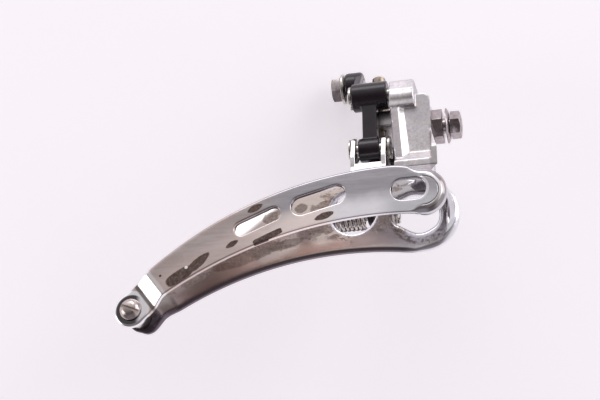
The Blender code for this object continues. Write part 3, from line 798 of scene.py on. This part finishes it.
def plain_chrome():
    """Chrome of the pivot ears: softly brushed, a little cloudy, dark on the lower ones."""
    look = Look("ear_chrome")
    look.tone = look.ramp(look.noise(0.35, 4, 0.6, seed=2.0),
                          [(0.3, (0.60, 0.58, 0.57)), (0.7, (0.82, 0.81, 0.82))])
    look.paint(look.z.rise(-19.0, -23.0), (0.15, 0.115, 0.10))
    grain = look.noise(2.0, 5, 0.7, stretch=(1, 0.15, 1))
    return look.finish(grain * 0.16 + 0.12, (grain, 0.12, 0.03))


def cast_aluminium():
    """Cast and softly buffed aluminium: matt and speckled in the pocket, with painted highlights on
    ridges and slopes and painted shade on the slab, side wall and front ridge.
    """
    look = Look("cast_aluminium")
    x, y, z = look.x, look.y, look.z
    forward, _, up = look.facing()
    fine = look.noise(3.2, 6, 0.75)
    look.tone = look.ramp(look.noise(0.22, 3, 0.6, seed=3.0),
                          [(0.25, (0.56, 0.535, 0.55)), (0.5, (0.64, 0.615, 0.63)),
                           (0.75, (0.74, 0.715, 0.73))])
    # painted shade on the slab, flank and crest, and painted highlights on the slopes
    flank_shade = x.rise(-0.6, 0.4) * z.rise(-1.0, -2.5)
    look.paint(x.rise(-8.5, -3.0) * z.rise(-7.0, 4.0), (0.52, 0.50, 0.52))
    look.paint(flank_shade, (0.44, 0.42, 0.43))
    look.paint(y.rise(-7.3, -7.8) * x.rise(-8.0, -9.0) * z.rise(4.5, 3.0), (0.52, 0.485, 0.505))
    slope_highlight = (forward.rise(0.22, 0.5) * y.rise(-5.8, -6.3) * x.rise(-4.0, -5.0) * z.rise(5.0, 4.0)
                | up.rise(0.22, 0.45) * z.rise(-9.5, -10.6) * y.rise(-5.8, -6.2))
    look.paint(slope_highlight * 0.75, (0.82, 0.80, 0.81))
    pebbles = look.noise(1.15, 5, 0.8, seed=17.0).rise(0.40, 0.62)
    look.paint(pebbles * ((1.0 - slope_highlight) * 0.5), (0.36, 0.335, 0.35))
    warm = look.noise(0.5, 3, seed=9.0).rise(0.52, 0.66) * y.rise(-4.4, -5.6) * z.rise(9.0, 5.0)
    look.paint(warm * 0.35, (0.60, 0.50, 0.40))
    pits = look.cells(1.1, 4.0).rise(0.16, 0.06) * look.noise(0.5, 2, seed=11.0).rise(0.55, 0.62)
    look.paint(pits * 0.6, (0.16, 0.13, 0.11))
    # painted highlights on the convex edges, kept off the shaded flank
    edges = look.convex_edges(0.505, 0.56) * (1.0 - flank_shade)
    look.paint(edges * 0.7, (0.92, 0.91, 0.92))
    brushed = look.noise(2.6, 4, 0.7, stretch=(0.12, 1, 1), seed=6.0)
    return look.finish(fine * 0.16 + 0.26 - edges * 0.16,
                       (brushed * z.rise(-13.0, -15.0), 0.35, 0.05), (fine, 0.22, 0.04),
                       (pits * -1.0, 0.5, 0.08))


def black_anodised():
    """Semi-gloss black with faint grain, rubbed bright on the edges."""
    look = Look("black_anodised", metallic=0.0)
    look.tone = look.ramp(look.noise(0.3, 3, seed=2.0),
                          [(0.3, (0.009, 0.005, 0.009)), (0.7, (0.018, 0.011, 0.018))])
    edges = look.convex_edges(0.54, 0.64) * look.noise(0.8, 3).rise(0.42, 0.6)
    look.paint(edges * 0.5, (0.22, 0.20, 0.21))
    dust = look.noise(1.5, 5, 0.75, seed=14.0).rise(0.60, 0.74)
    look.paint(dust * 0.4, (0.13, 0.11, 0.11))
    grain = look.noise(2.4, 5, 0.7)
    return look.finish(grain * 0.18 + 0.13, (grain, 0.16, 0.05))


def dark_steel(name, tint, dull=0.0, seed=0.0):
    """Polished dark steel with a warm or purple cast and fine turning marks."""
    look = Look(name)
    look.tone = look.ramp(look.noise(0.55, 4, 0.65, seed=seed),
                          [(0.28, shade(tint, 0.62)), (0.5, tint), (0.74, shade(tint, 1.28))])
    stain = look.noise(1.1, 5, 0.7, seed=seed + 5).rise(0.58, 0.70)
    look.paint(stain * 0.6, (0.12, 0.075, 0.055))
    marks = look.noise(3.0, 4, 0.7, stretch=(1.0, 0.25, 0.25), seed=seed)
    return look.finish(marks * 0.20 + (0.12 + dull), (marks, 0.14, 0.04),
                       (look.noise(0.9, 3, seed=seed + 2), 0.2, 0.06))


def bright_steel(name, tint, seed=0.0):
    """Zinc plate: bright, a little yellow in places, with dark stains."""
    look = Look(name)
    look.tone = look.ramp(look.noise(0.7, 4, 0.6, seed=seed), [(0.3, shade(tint, 0.7)), (0.7, tint)])
    gold = look.noise(0.9, 3, seed=seed + 4).rise(0.52, 0.66)
    look.paint(gold * 0.45, (0.62, 0.50, 0.30))
    stain = look.noise(1.6, 5, 0.7, seed=seed + 7).rise(0.60, 0.70)
    look.paint(stain * 0.7, (0.13, 0.09, 0.07))
    marks = look.noise(2.8, 4, 0.7, seed=seed + 1)
    return look.finish(marks * 0.20 + 0.14, (marks, 0.16, 0.04))


def spring_wire():
    """Spring wire: bright with brown rust, and painted shade on the return spring's far inner side.
    """
    look = Look("spring_wire")
    rust = look.noise(1.2, 5, 0.7, seed=3.0).rise(0.50, 0.62)
    look.tone = look.mix(rust * 0.8, (0.66, 0.62, 0.59), (0.16, 0.085, 0.05))
    # painted shade inside the far half of the return spring's coil
    look.paint(look.facing()[1].rise(0.25, 0.0) * look.y.rise(8.4, 9.4) * look.z.rise(-19.0, -20.5),
               (0.02, 0.016, 0.015))
    return look.finish(rust * 0.3 + 0.2, (look.noise(3.0, 4, 0.7), 0.2, 0.05))


# ---- cage --------------------------------------------------------------------------------------

def nose_arc(centre, radius, start, end, steps, lift=0.7):
    """The nose's curve, a little fuller at the top."""
    points = []
    for x, z in arc((0, 0), 1.0, start, end, steps):
        reach = radius + lift * max(0.0, z)
        points.append((centre[0] + x * reach, centre[1] + z * reach))
    return points


def outer_outline():
    outline = [(-95.2, -56.2), (-93.7, -54.6), (-92.2, -53.3)]
    outline += edge_arc(OUTER_TOP, -88.6, -10.0, 130)
    outline += [(-7.4, -22.9)]
    outline += nose_arc(OUTER_NOSE[:2], OUTER_NOSE[2], 95, -85, 46)
    outline += edge_arc(OUTER_BOTTOM, -4.0, -82.6, 130)
    outline += [(-84.3, -60.0), (-86.0, -61.5), (-87.6, -63.3)]
    outline += arc(TAIL, 5.5, -34, -245, 44)
    return relax_loop(outline, 0.5, 6)


def relax_loop(loop, step, rounds):
    """Evens out a loop's points and eases its corners a little."""
    points = resample(loop, step)
    for _ in range(rounds):
        points = points * 0.5 + (np.roll(points, 1, axis=0) + np.roll(points, -1, axis=0)) * 0.25
    return [tuple(p) for p in points]


def outer_roll(number, x, z):
    """Small rounds everywhere but along the top edge and round the nose, which rolls right over."""
    if number:
        return 0 * x + 0.55, 0 * x + math.radians(62)
    height = np.hypot(x - OUTER_BOTTOM[0], z - OUTER_BOTTOM[1]) - OUTER_BOTTOM[2]
    top = smoothstep((height - 3.5) / 3.0) * smoothstep((x + 92.0) / 5.0)
    from_nose = np.hypot(x - OUTER_NOSE[0], z - OUTER_NOSE[1])
    nose = smoothstep((x - OUTER_NOSE[0] + 5.0) / 5.0) * (from_nose < 9.5)
    tail = smoothstep((-88.0 - x) / 3.0)
    radius = 0.45 + 0.75 * top + 0.45 * tail
    radius = radius + (2.35 - radius) * nose
    return radius, np.radians(58 + 28 * nose)


def bridge():
    """The horn that leads from the rolled nose back to the inner plate's ring."""
    rows, columns = 26, 64
    start_y, end_y = OUTER_FACE + 2.0, INNER_FACE - 0.1
    shape = bmesh.new()
    grid = []
    for row in range(rows + 1):
        turn = math.pi / 2 * row / rows
        ease = 1 - math.cos(turn)
        y = start_y + (end_y - start_y) * math.sin(turn)
        x = OUTER_NOSE[0] + (RING_NOSE[0] - OUTER_NOSE[0]) * ease
        z = OUTER_NOSE[1] + (RING_NOSE[1] - OUTER_NOSE[1]) * ease
        radius = OUTER_NOSE[2] - 0.03 + (RING_NOSE[2] - 0.9 - OUTER_NOSE[2]) * ease
        ring = nose_arc((x, z), radius, -12.0 - 52.0 * ease ** 1.3, 112.0, columns, 0.7 * (1 - ease))
        grid.append([shape.verts.new((px, y, pz)) for px, pz in ring])
    for low, high in zip(grid, grid[1:]):
        for k in range(columns):
            shape.faces.new((low[k], high[k], high[k + 1], low[k + 1]))
    horn = to_object("cage_nose_bridge", shape)
    shell = horn.modifiers.new("thickness", "SOLIDIFY")
    shell.thickness = 1.25
    shell.offset = -1.0
    apply_modifiers(horn)
    return soften(horn, 0.25, 2, 40)


def make_outer_plate(look):
    loops = [outer_outline(), stadium(*SLOT_REAR), stadium(*SLOT_FRONT), stadium(*SLOT_NOSE, 22),
             arc(TAIL, TAIL_HOLE, 0, 350, 35)]
    plate = sheet("cage_outer_plate_face", loops, stepped_face(OUTER_FACE, EAR_STEP, 0.3),
                  PLATE_THICK, outer_roll, corner=0.18)
    place(plate, look, "chrome_plate", "cage", "cage_outer_plate", sharp=50)
    place(bridge(), look, "chrome_plate", "cage", sharp=50)


def inner_outline():
    outline = [(-92.6, -56.0)]
    outline += edge_arc(INNER_TOP, -87.0, -36.0, 90)
    outline += [(-25.9, -17.6), (-25.9, -14.2), (-14.2, -14.2), (-14.2, -18.4), (-9.5, -21.6)]
    outline += arc(RING_NOSE[:2], RING_NOSE[2], 95, -85, 60)
    outline += edge_arc(INNER_BOTTOM, -6.0, -86.0, 130)
    outline += [(-87.6, -63.6), (-89.0, -65.6), (-90.4, -66.8), (-92.3, -67.2)]
    outline += arc(TAIL, 4.3, -95, -255, 34)
    return relax_loop(outline, 0.5, 5)


def ring_opening():
    hole = arc(RING_HOLE[:2], RING_HOLE[2] - 0.3, 20, -40, 14)
    hole += arc(RING_HOLE[:2], RING_HOLE[2] - 0.7, -50, -110, 14)
    hole += [(-8.8, -38.2), (-12.4, -36.0), (-12.8, -32.9), (-10.6, -28.6)]
    hole += arc((-6.2, -29.4), 2.4, 130, 90, 3)
    hole += [(-1.6, -27.6)]
    return relax_loop(hole, 0.45, 8)


def inner_roll(number, x, z):
    if number == 1:  # the ring's opening
        return 0 * x + 1.6, 0 * x + math.radians(58)
    if number == 2:  # the window for the return spring
        return 0 * x + 1.3, 0 * x + math.radians(58)
    if number == 3:
        return 0 * x + 0.3, 0 * x + math.radians(45)
    height = np.hypot(x - INNER_BOTTOM[0], z - INNER_BOTTOM[1]) - INNER_BOTTOM[2]
    top = smoothstep((height - 5.0) / 3.0) * smoothstep((-34.0 - x) / 4.0) * smoothstep((x + 90) / 5)
    lip = smoothstep((3.5 - height) / 2.0) * smoothstep((x + 91) / 5) * smoothstep((-4.0 - x) / 5.0)
    ring = smoothstep((x + 8.0) / 7.0)
    radius = 0.5 + 0.8 * top + 1.1 * lip
    radius = radius + (2.0 - radius) * ring
    return radius, 0 * x + np.radians(58)


def inner_face(x, z):
    """The inner plate's front: stepped at the tail, and leaning back at the pivot tab."""
    front = stepped_face(INNER_FACE, INNER_EAR_STEP)(x, z)
    below_top = INNER_TOP[2] - np.hypot(x - INNER_TOP[0], z - INNER_TOP[1])
    start = 2.2 + 5.3 * smoothstep((-44.0 - x) / 20.0)
    over = np.clip(start - below_top, 0, 9)
    part = smoothstep((-27.0 - x) / 5.0) * smoothstep((x + 82.0) / 10.0)
    front = front + part * (0.24 * (over - 0.5 * (1 - np.exp(-over / 0.5))) + 0.005 * over ** 2)
    tab = smoothstep((x + 28.5) / 3.0) * smoothstep((-11.5 - x) / 3.0)
    lean = np.clip((z + 18.6) / 4.0, 0, 1)
    return front + 0.5 * lean ** 2 * tab


def ear(name, across, outline):
    return prism(name, fillet(outline, 0.8), "X", across[0], across[1], 0.28, 3)


def make_inner_plate(look, ear_look):
    loops = [inner_outline(), ring_opening(), arc(SPRING_HOLE[:2], SPRING_HOLE[2], 0, 355, 71),
             arc(TAIL, TAIL_HOLE, 0, 350, 35)]
    plate = sheet("cage_inner_plate_face", loops, inner_face, INNER_THICK, inner_roll, corner=0.2)
    place(plate, look, "chrome_plate", "cage", "cage_inner_plate", sharp=50)
    back = INNER_FACE + 0.3
    outer_eye = arc(LOWER_OUTER, EYE_RADIUS, 150, -20, 20)
    front = outer_eye + arc(LOWER_INNER, EYE_RADIUS, 50, -100, 20)
    front += [(back, -33.0), (back, -12.0)]
    rear = outer_eye + [(back + 2.5, -14.6), (back, -17.4), (back, -12.0)]
    spring = arc(LOWER_INNER, EYE_RADIUS, 100, -100, 24) + [(back, -33.0), (back, -20.5)]
    for name, across, outline in (("pivot_ear_front", (-15.8, -14.2), front),
                                  ("pivot_ear_rear", (-25.9, -24.3), rear),
                                  ("pivot_ear_spring", (-36.4, -34.8), spring)):
        place(ear(name, across, outline), ear_look, "chrome_plate", "cage")


def make_tail(screw_look, spacer_look):
    face = OUTER_FACE + EAR_STEP - GAP
    dome = [(0.0, face - 2.2), (0.9, face - 2.14), (1.7, face - 1.94), (2.35, face - 1.62),
            (2.85, face - 1.22), (3.2, face - 0.8), (3.42, face - 0.42), (3.52, face - 0.12),
            (3.46, face), (2.0, face), (1.9, face + 0.4), (1.9, face + 11.6), (1.6, face + 11.9),
            (0.0, face + 11.9)]
    screw = lathe("tail_screw_head", "Y", TAIL, fillet(dome, 0.1, 2, closed=False), 96)
    slot = block("slot", (-6, -0.5, -0.5), (6, 0.5, 3.0))
    slot.data.transform(Matrix.Rotation(math.radians(90), 4, "X"))
    slot.data.transform(Matrix.Rotation(math.radians(22), 4, "Y"))
    slot.data.transform(Matrix.Translation((TAIL[0], face - 1.2, TAIL[1])))
    cut(screw, slot)
    place(screw, screw_look, "plated_steel", "cage", "tail_screw")
    low, high = box_mm("tail_spacer")
    spacer = tube("tail_spacer_sleeve", "Y", TAIL, 2.1, (high.x - low.x) / 2, low.y, high.y, 0.3)
    place(spacer, spacer_look, "plated_steel", "cage", "tail_spacer")


# ---- pivots ------------------------------------------------------------------------------------

def pin_from_box(name, node, look, body, head=0.0):
    """A pivot pin along X with slightly domed ends, from its CAD box."""
    low, high = box_mm(node)
    centre = ((low.y + high.y) / 2, (low.z + high.z) / 2)
    radius, start = PIN_RADIUS, low.x
    profile = [(0, start)]
    if head:
        profile += [(1.4, start + 0.02), (1.5, start + 0.3), (2.6, start + 0.3), (2.7, start + 0.05)]
        profile += [(3.7, start + 0.12), (3.9, start + 0.35), (3.9, start + head),
                    (radius, start + head)]
    else:
        profile += [(radius - 0.5, start), (radius, start + 0.5)]
    profile += [(radius, high.x - 0.5), (radius - 0.5, high.x - 0.125), (0, high.x)]
    pin = lathe(name, "X", centre, fillet(profile, 0.1, 2, closed=False), 64)
    return place(pin, look, "plated_steel", body, node)


def clip_from_box(name, node, look, body, turn):
    """A retaining ring with an opening and two small lugs."""
    low, high = box_mm(node)
    outer = (high.y - low.y) / 2
    centre = ((low.y + high.y) / 2, high.z - outer)
    inner, opening = 2.5, 28.0
    outline = arc((0, 0), outer, turn + opening, turn + 360 - opening, 48)
    outline += arc((0, 0), inner, turn + 360 - opening - 6, turn + opening + 6, 40)
    outline = [(centre[0] + y, centre[1] + z) for y, z in fillet(outline, 0.25)]
    clip = prism(name, outline, "X", low.x, high.x, 0.16, 2)
    return place(clip, look, "plated_steel", body, node)


def make_pivots(look):
    for side, body, head in (("upper_outer", "main", 0), ("upper_inner", "main", 0),
                             ("lower_outer", "cage", 0.8), ("lower_inner", "cage", 0.8)):
        pin_from_box(f"{side}_pivot", f"{side}_pin", look, body, head)
    for side, body, turn in (("upper_outer", "main", 250), ("upper_inner", "main", 250),
                             ("lower_outer", "cage", 290), ("lower_inner", "cage", 250)):
        clip_from_box(f"{side}_ring", f"{side}_clip", look, body, turn)


def make_return_spring(look):
    y, z = LOWER_INNER
    low, high, radius = -33.9, -24.6, 4.7
    turns = coil("X", LOWER_INNER, radius, low, high, 6.5, start=90.0, per_turn=40)
    lead_in = [(low, y - 6.0, z + radius), (low, y - 3.0, z + radius)]
    lead_out = [(high, y + 3.0, z - radius), (high, y + 5.5, z - radius)]
    spring = sweep("return_spring_coil", lead_in + turns + lead_out, 0.6, 14)
    spring.data.transform(Matrix.Scale(MM, 4))
    spring.data.materials.append(look)
    spring.data.shade_smooth()
    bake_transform(spring)
    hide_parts("return_spring")


# ---- body --------------------------------------------------------------------------------------

def make_body(look):
    front, rim, ridge = -6.0, -9.0, -8.0
    slab = prism("slab", [(-11.6, BODY_FOOT + 1), (BODY_BACK, SLAB_TOP), (-1.8, SLAB_TOP),
                          (-0.6, SLAB_TOP - 0.4), (0.3, SLAB_TOP - 1.3), (0.8, SLAB_TOP - 2.6),
                          (3.2, SLAB_TOP - 2.8), (3.2, BODY_FOOT + 1)], "Y", front, 5.0, 0)
    floor_rise = prism("rise", [(front + 0.5, -10.6), (rim, -15.0), (rim, BODY_FOOT),
                                (5.0, BODY_FOOT), (5.0, -10.6)], "X", -11.5, 0.2, 0)
    side_wall = prism("side", [(front + 0.4, -2.2), (rim, -11.0), (rim, BODY_FOOT),
                               (5.0, BODY_FOOT), (5.0, -2.2)], "X", 0.3, 3.2, 0)
    spine = prism("spine", [(-11.5, 1.0), (-11.5, ridge + 0.8), (-10.7, ridge), (-8.7, ridge),
                            (-6.3, front), (-6.3, 1.0)], "Z", BODY_FOOT + 1.5, 6.4, 0,
                  top=[(-12.7, 1.0), (-12.7, ridge + 0.8), (-11.9, ridge), (-9.9, ridge),
                       (-8.2, front), (-8.2, 1.0)])
    boss = prism("boss", [(-8.2, 5.2), (-8.2, BOSS_TOP - 4.3), (-6.3, BOSS_TOP), (4.0, BOSS_TOP),
                          (4.0, 5.2)], "X", -12.7, -4.4, 0)
    cap = rod("cap", "X", (-3.9, 9.0), LUG_RADIUS, -12.6, -4.6, 0.4)
    lug = rod("lug", "X", UPPER_INNER, LUG_RADIUS, BODY_BACK, -5.0, 0.4)
    web = block("web", (BODY_BACK, 2.0, -9.0), (-5.0, UPPER_INNER[0], 6.0))
    shelf = block("shelf", (-22.4, 0.3, 2.6), (-12.0, 18.0, SHELF_TOP))
    shelf_root = block("root", (-13.0, 0.8, 3.0), (-6.0, 17.5, 8.0))
    body = fuse("main_body_casting", [slab, floor_rise, side_wall, spine, boss, cap,
                                      lug, web, shelf, shelf_root], 0.28, 9)
    saddle = rod("saddle", "Z", SADDLE_CENTRE, SADDLE_RADIUS, -40, 40, 0, 160)
    threads = [rod("thread", "Z", (LIMIT_X, y), 1.8, -2, 12, 0) for y in SCREW_Y.values()]
    cut(body, merge("tools", [saddle, *threads]))
    place(body, look, "cast_aluminium", "main", "main_body", sharp=40)


# ---- mounting bolt, washer and spacer ----------------------------------------------------------

def make_mount(look):
    low, high = box_mm("mount_bolt")
    head = hex_solid("head", (0, 0), BOLT_FLATS, 6.5, 9.8, 0.0, chamfer_high=True)
    crown = [(0, high.x), (1.1, high.x - 0.02), (2.2, high.x - 0.12), (3.0, high.x - 0.3),
             (3.3, high.x - 0.6), (0, high.x - 0.8)]
    crown = lathe("crown", "X", (0, 0), crown, 72)
    shank = rod("shank", "X", (0, 0), BOLT_RADIUS, low.x, 6.8, 0.4)
    bolt = merge("mount_bolt_hex", [head, crown, shank])
    place(bolt, look, "dark_steel", "main", "mount_bolt")
    profile = [(2.8, 6.2), (4.2, 6.2), (4.7, 6.1), (5.75, 5.55), (5.9, 5.35), (5.9, 5.15),
               (5.8, 5.1), (2.8, 5.1)]
    washer = lathe("mount_washer_cone", "X", (0, 0), profile, 96, ring=True)
    place(washer, look, "dark_steel", "main", "mount_washer")
    spacer = prism("mount_spacer_hex", hexagon((0, 0), SPACER_FLATS, 0.0), "X", -2.0, 4.0, 0)
    cut(spacer, rod("saddle", "Z", SADDLE_CENTRE, SADDLE_RADIUS - GAP, -30, 30, 0, 160), "INTERSECT")
    cut(spacer, rod("hole", "X", (0, 0), 2.8, -6, 8, 0))
    soften(spacer, 0.22, 3, 25)
    place(spacer, look, "dark_steel", "main", "mount_spacer")


# ---- limit screws ------------------------------------------------------------------------------

def thread(name, centre, radius, depth, pitch, low, high, sides=30):
    """A threaded shank along Z."""
    steps = int((high - low) / pitch * 10)
    shape = bmesh.new()
    rows = []
    for step in range(steps + 1):
        z = low + (high - low) * step / steps
        taper = min(1.0, (z - low) / 0.6 + 0.3)
        row = []
        for k in range(sides):
            phase = (z / pitch - k / sides) % 1.0
            ridge = 1 - abs(2 * phase - 1)
            r = (radius - depth * (1 - ridge)) * taper ** 0.5
            a = 2 * math.pi * k / sides
            row.append(shape.verts.new((centre[0] + r * math.cos(a), centre[1] + r * math.sin(a), z)))
        rows.append(row)
    for a, b in zip(rows, rows[1:]):
        for k in range(sides):
            n = (k + 1) % sides
            shape.faces.new((a[k], a[n], b[n], b[k]))
    shape.faces.new(rows[0])
    shape.faces.new(rows[-1])
    return to_object(name, shape)


def make_limit_screw(side, y, look):
    low, high = box_mm(f"limit_screw_{side}")
    head_low = high.z - 2.6
    shank = thread("shank", (LIMIT_X, y), 1.5, 0.22, 0.7, low.z, head_low + 0.2)
    profile = fillet([(0, head_low), (2.25, head_low), (2.25, high.z - 0.5), (1.7, high.z),
                      (0, high.z)], 0.25, closed=False)
    head = lathe("head", "Z", (LIMIT_X, y), profile, 64)
    cut(head, block("slot", (LIMIT_X - 4, y - 0.35, high.z - 1.1),
                    (LIMIT_X + 4, y + 0.35, high.z + 1)))
    place(merge(f"{side}_limit_screw", [shank, head]), look, "dark_steel", f"{side}_screw",
          f"limit_screw_{side}", sharp=28)


def make_limit_spring(side, y, look):
    low, high = box_mm(f"limit_spring_{side}")
    points = coil("Z", (LIMIT_X, y), 2.1, low.z + 0.25, high.z - 0.25, 7.5, dead=0.8, per_turn=26)
    place(sweep(f"{side}_limit_coil", points, 0.25, 10), look, "spring_steel", "main",
          f"limit_spring_{side}")


# ---- arms --------------------------------------------------------------------------------------

def bore(arm, *bores):
    """Cuts round holes along X, each given as its centre and radius."""
    cut(arm, merge("tools", [rod("bore", "X", centre, radius, -40, 0, 0)
                             for centre, radius in bores]))


def make_outer_arm(look):
    y, z = UPPER_OUTER
    barrel = rod("barrel", "X", UPPER_OUTER, 4.8, -25.5, -13.6, 0.35)
    column = prism("column", [(-22.2, -7.4), (-22.2, z - 5.2), (-23.2, z - 3.6), (-16.4, z - 3.6),
                              (-17.3, z - 5.2), (-17.3, -7.4)], "Y", y - 2.5, y + 2.3, 0)
    lower = rod("lower", "X", LOWER_OUTER, BARREL_RADIUS, -23.6, -16.6, 0.35)
    lever = prism("lever", [(y - 1.0, z + 4.0), (y + 4.5, z - 1.5), (CLAMP[0] + 3.0, CLAMP[1] - 4.0),
                            (CLAMP[0] - 3.5, CLAMP[1] + 3.5)], "X", -25.5, -23.4, 0)
    boss = rod("boss", "X", CLAMP, CLAMP_RADIUS, -29.8, -23.4, 1.3)
    arm = fuse("outer_arm_casting", [barrel, column, lower, lever, boss], 0.22, 8)
    bore(arm, (UPPER_OUTER, BORE_RADIUS), (LOWER_OUTER, BORE_RADIUS), (CLAMP, BOLT_HOLE))
    place(arm, look, "black_anodised", "outer_link", "outer_arm", sharp=40)


def make_inner_arm(look):
    y = UPPER_INNER[0]
    barrel = rod("barrel", "X", UPPER_INNER, BARREL_RADIUS, -23.4, -13.2, 0.35)
    lower = rod("lower", "X", LOWER_INNER, BARREL_RADIUS, -23.4, -16.2, 0.35)
    column = block("column", (-22.6, y - 2.4, LOWER_INNER[1]), (-17.0, y + 2.4, UPPER_INNER[1]))
    lugs = block("lugs", (-20.2, 3.7, -7.2), (-15.4, 15.5, -4.0))
    arm = fuse("inner_arm_casting", [barrel, lower, column, lugs], 0.25, 4)
    bore(arm, (UPPER_INNER, BORE_RADIUS), (LOWER_INNER, BORE_RADIUS))
    place(arm, look, "black_anodised", "inner_link", "inner_arm", sharp=40)


def make_clamp(bolt_look, washer_look):
    head = hex_solid("head", CLAMP, BOLT_FLATS, -34.4, -31.4, 30.0, chamfer_low=True)
    end = box_mm("cable_clamp_bolt")[1].x
    shank = rod("shank", "X", CLAMP, BOLT_RADIUS, -31.8, end, 0.3)
    place(merge("cable_clamp_hex", [head, shank]), bolt_look, "plated_steel", "outer_link",
          "cable_clamp_bolt")
    washer = tube("cable_clamp_plate", "X", CLAMP, 2.8, CLAMP_RADIUS, -31.1, -30.1, 0.25, 96)
    place(washer, washer_look, "plated_steel", "outer_link", "cable_clamp_washer")


# ---- studio ------------------------------------------------------------------------------------

VIEW_AZIMUTH, VIEW_ELEVATION = 13.7, -23.1
CAMERA_PLACE = Vector((41.88, -355.04, -177.37)) * MM
LIT_PLACE = Vector((-45.0, -10.0, -20.0)) * MM
TABLE_HALF, TABLE_GAP = 0.9, 0.0006


def view_axes():
    """Right, up and back of the camera."""
    a, e = math.radians(VIEW_AZIMUTH), math.radians(VIEW_ELEVATION)
    back = Vector((math.sin(a) * math.cos(e), -math.cos(a) * math.cos(e), math.sin(e)))
    right = Vector((math.cos(a), math.sin(a), 0))
    return right, back.cross(right), back


def add_object(name, data):
    obj = bpy.data.objects.new(name, data)
    bpy.context.scene.collection.objects.link(obj)
    return obj


def make_camera():
    data = bpy.data.cameras.new("camera")
    data.lens, data.sensor_width = 72.0, 36.0
    data.clip_start, data.clip_end = 0.01, 20.0
    camera = add_object("camera", data)
    turn = Matrix(view_axes()).transposed().to_4x4()
    camera.matrix_world = Matrix.Translation(CAMERA_PLACE) @ turn
    bpy.context.scene.camera = camera


def make_table():
    """The pale sheet that the part lies on, seen from its own side only."""
    right, up, back = view_axes()
    deepest = max(-(back.dot(v.co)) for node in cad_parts.values() for v in node.data.vertices)
    middle = CAMERA_PLACE - back * (CAMERA_PLACE.dot(back) + deepest + TABLE_GAP)
    shape = bmesh.new()
    shape.faces.new([shape.verts.new(middle + right * (sx * TABLE_HALF) + up * (sy * TABLE_HALF))
                     for sx, sy in ((-1, -1), (1, -1), (1, 1), (-1, 1))])
    table = to_object("table", shape, fix_normals=False)
    look = bpy.data.materials.new("table_paper")
    look.use_nodes = True
    graph = Graph(look.node_tree)
    paper = look.node_tree.nodes["Principled BSDF"]
    for key, value in (("Base Color", (0.84, 0.81, 0.85)), ("Roughness", 0.7),
                       ("Specular IOR Level", 0.2), ("Emission Color", (0.86, 0.825, 0.87)),
                       ("Emission Strength", 0.52)):
        graph.put(value, paper.inputs[key])
    behind = graph.node("ShaderNodeNewGeometry", {}, "Backfacing")
    clear = graph.node("ShaderNodeBsdfTransparent", {})
    surface = graph.node("ShaderNodeMixShader", {0: behind, 1: paper.outputs[0], 2: clear})
    graph.put(surface, look.node_tree.nodes["Material Output"].inputs[0])
    table.data.materials.append(look)


def area_light(name, toward, distance, size, power, colour):
    """A soft box that stands off from the part in a direction given in the camera's axes."""
    way = sum((axis * share for axis, share in zip(view_axes(), toward)), Vector()).normalized()
    data = bpy.data.lights.new(name, "AREA")
    data.shape = "RECTANGLE"
    data.size, data.size_y = size
    data.energy = power
    data.color = colour
    light = add_object(name, data)
    light.location = LIT_PLACE + way * distance
    light.rotation_mode = "QUATERNION"
    light.rotation_quaternion = way.to_track_quat("Z", "Y")


def make_world():
    """A room: pale above and ahead, brown round the horizon; the camera itself sees it pale."""
    world = bpy.data.worlds.new("room")
    bpy.context.scene.world = world
    world.use_nodes = True
    graph = Graph(world.node_tree)
    across, _, up = graph.split(graph.node("ShaderNodeTexCoord", {}, "Generated"))
    room = graph.ramp(graph.node("ShaderNodeMapRange", {"Value": up, "From Min": -1.0}),
                      [(0.0, (0.30, 0.28, 0.30)), (0.22, (0.14, 0.12, 0.13)),
                       (0.40, (0.15, 0.13, 0.125)), (0.56, (0.40, 0.37, 0.36)),
                       (0.66, (0.56, 0.54, 0.55)), (0.80, (0.95, 0.93, 0.95)),
                       (1.0, (1.0, 0.98, 1.0))])
    room = graph.mix(across.rise(0.45, 0.85) * 0.9, room, (0.92, 0.90, 0.93))
    seen = graph.node("ShaderNodeLightPath", {}, "Is Camera Ray")
    graph.put(graph.mix(seen, room, (0.86, 0.82, 0.87)),
              world.node_tree.nodes["Background"].inputs[0])


def make_lights():
    area_light("key", (-0.25, 1.0, 0.12), 0.8, (0.6, 0.35), 1.6, (1.0, 0.985, 1.0))
    area_light("right", (0.78, 0.54, 0.24), 0.85, (0.75, 0.5), 2.5, (1.0, 0.98, 0.985))
    area_light("left", (-0.98, -0.12, 0.22), 0.8, (0.45, 0.4), 1.3, (1.0, 0.99, 1.0))


# ---- the whole part ------------------------------------------------------------------------------

def main():
    bpy.context.scene.view_settings.view_transform = "Standard"
    black, wire = black_anodised(), spring_wire()
    bolt_steel = dark_steel("bolt_steel", (0.42, 0.375, 0.38), seed=2.0)
    screw_steel = dark_steel("limit_screw_steel", (0.36, 0.31, 0.25), 0.1, seed=6.0)
    zinc = bright_steel("zinc_steel", (0.74, 0.72, 0.69), seed=9.0)
    make_outer_plate(outer_chrome())
    make_inner_plate(inner_chrome(), plain_chrome())
    make_tail(bright_steel("tail_screw_steel", (0.62, 0.54, 0.53), seed=1.0), zinc)
    make_pivots(zinc)
    make_return_spring(wire)
    make_body(cast_aluminium())
    make_mount(bolt_steel)
    for side, y in SCREW_Y.items():
        make_limit_screw(side, y, screw_steel)
    for side, y in SCREW_Y.items():
        make_limit_spring(side, y, wire)
    make_outer_arm(black)
    make_inner_arm(black)
    make_clamp(bolt_steel, zinc)
    make_world()
    make_lights()
    make_table()
    make_camera()


main()
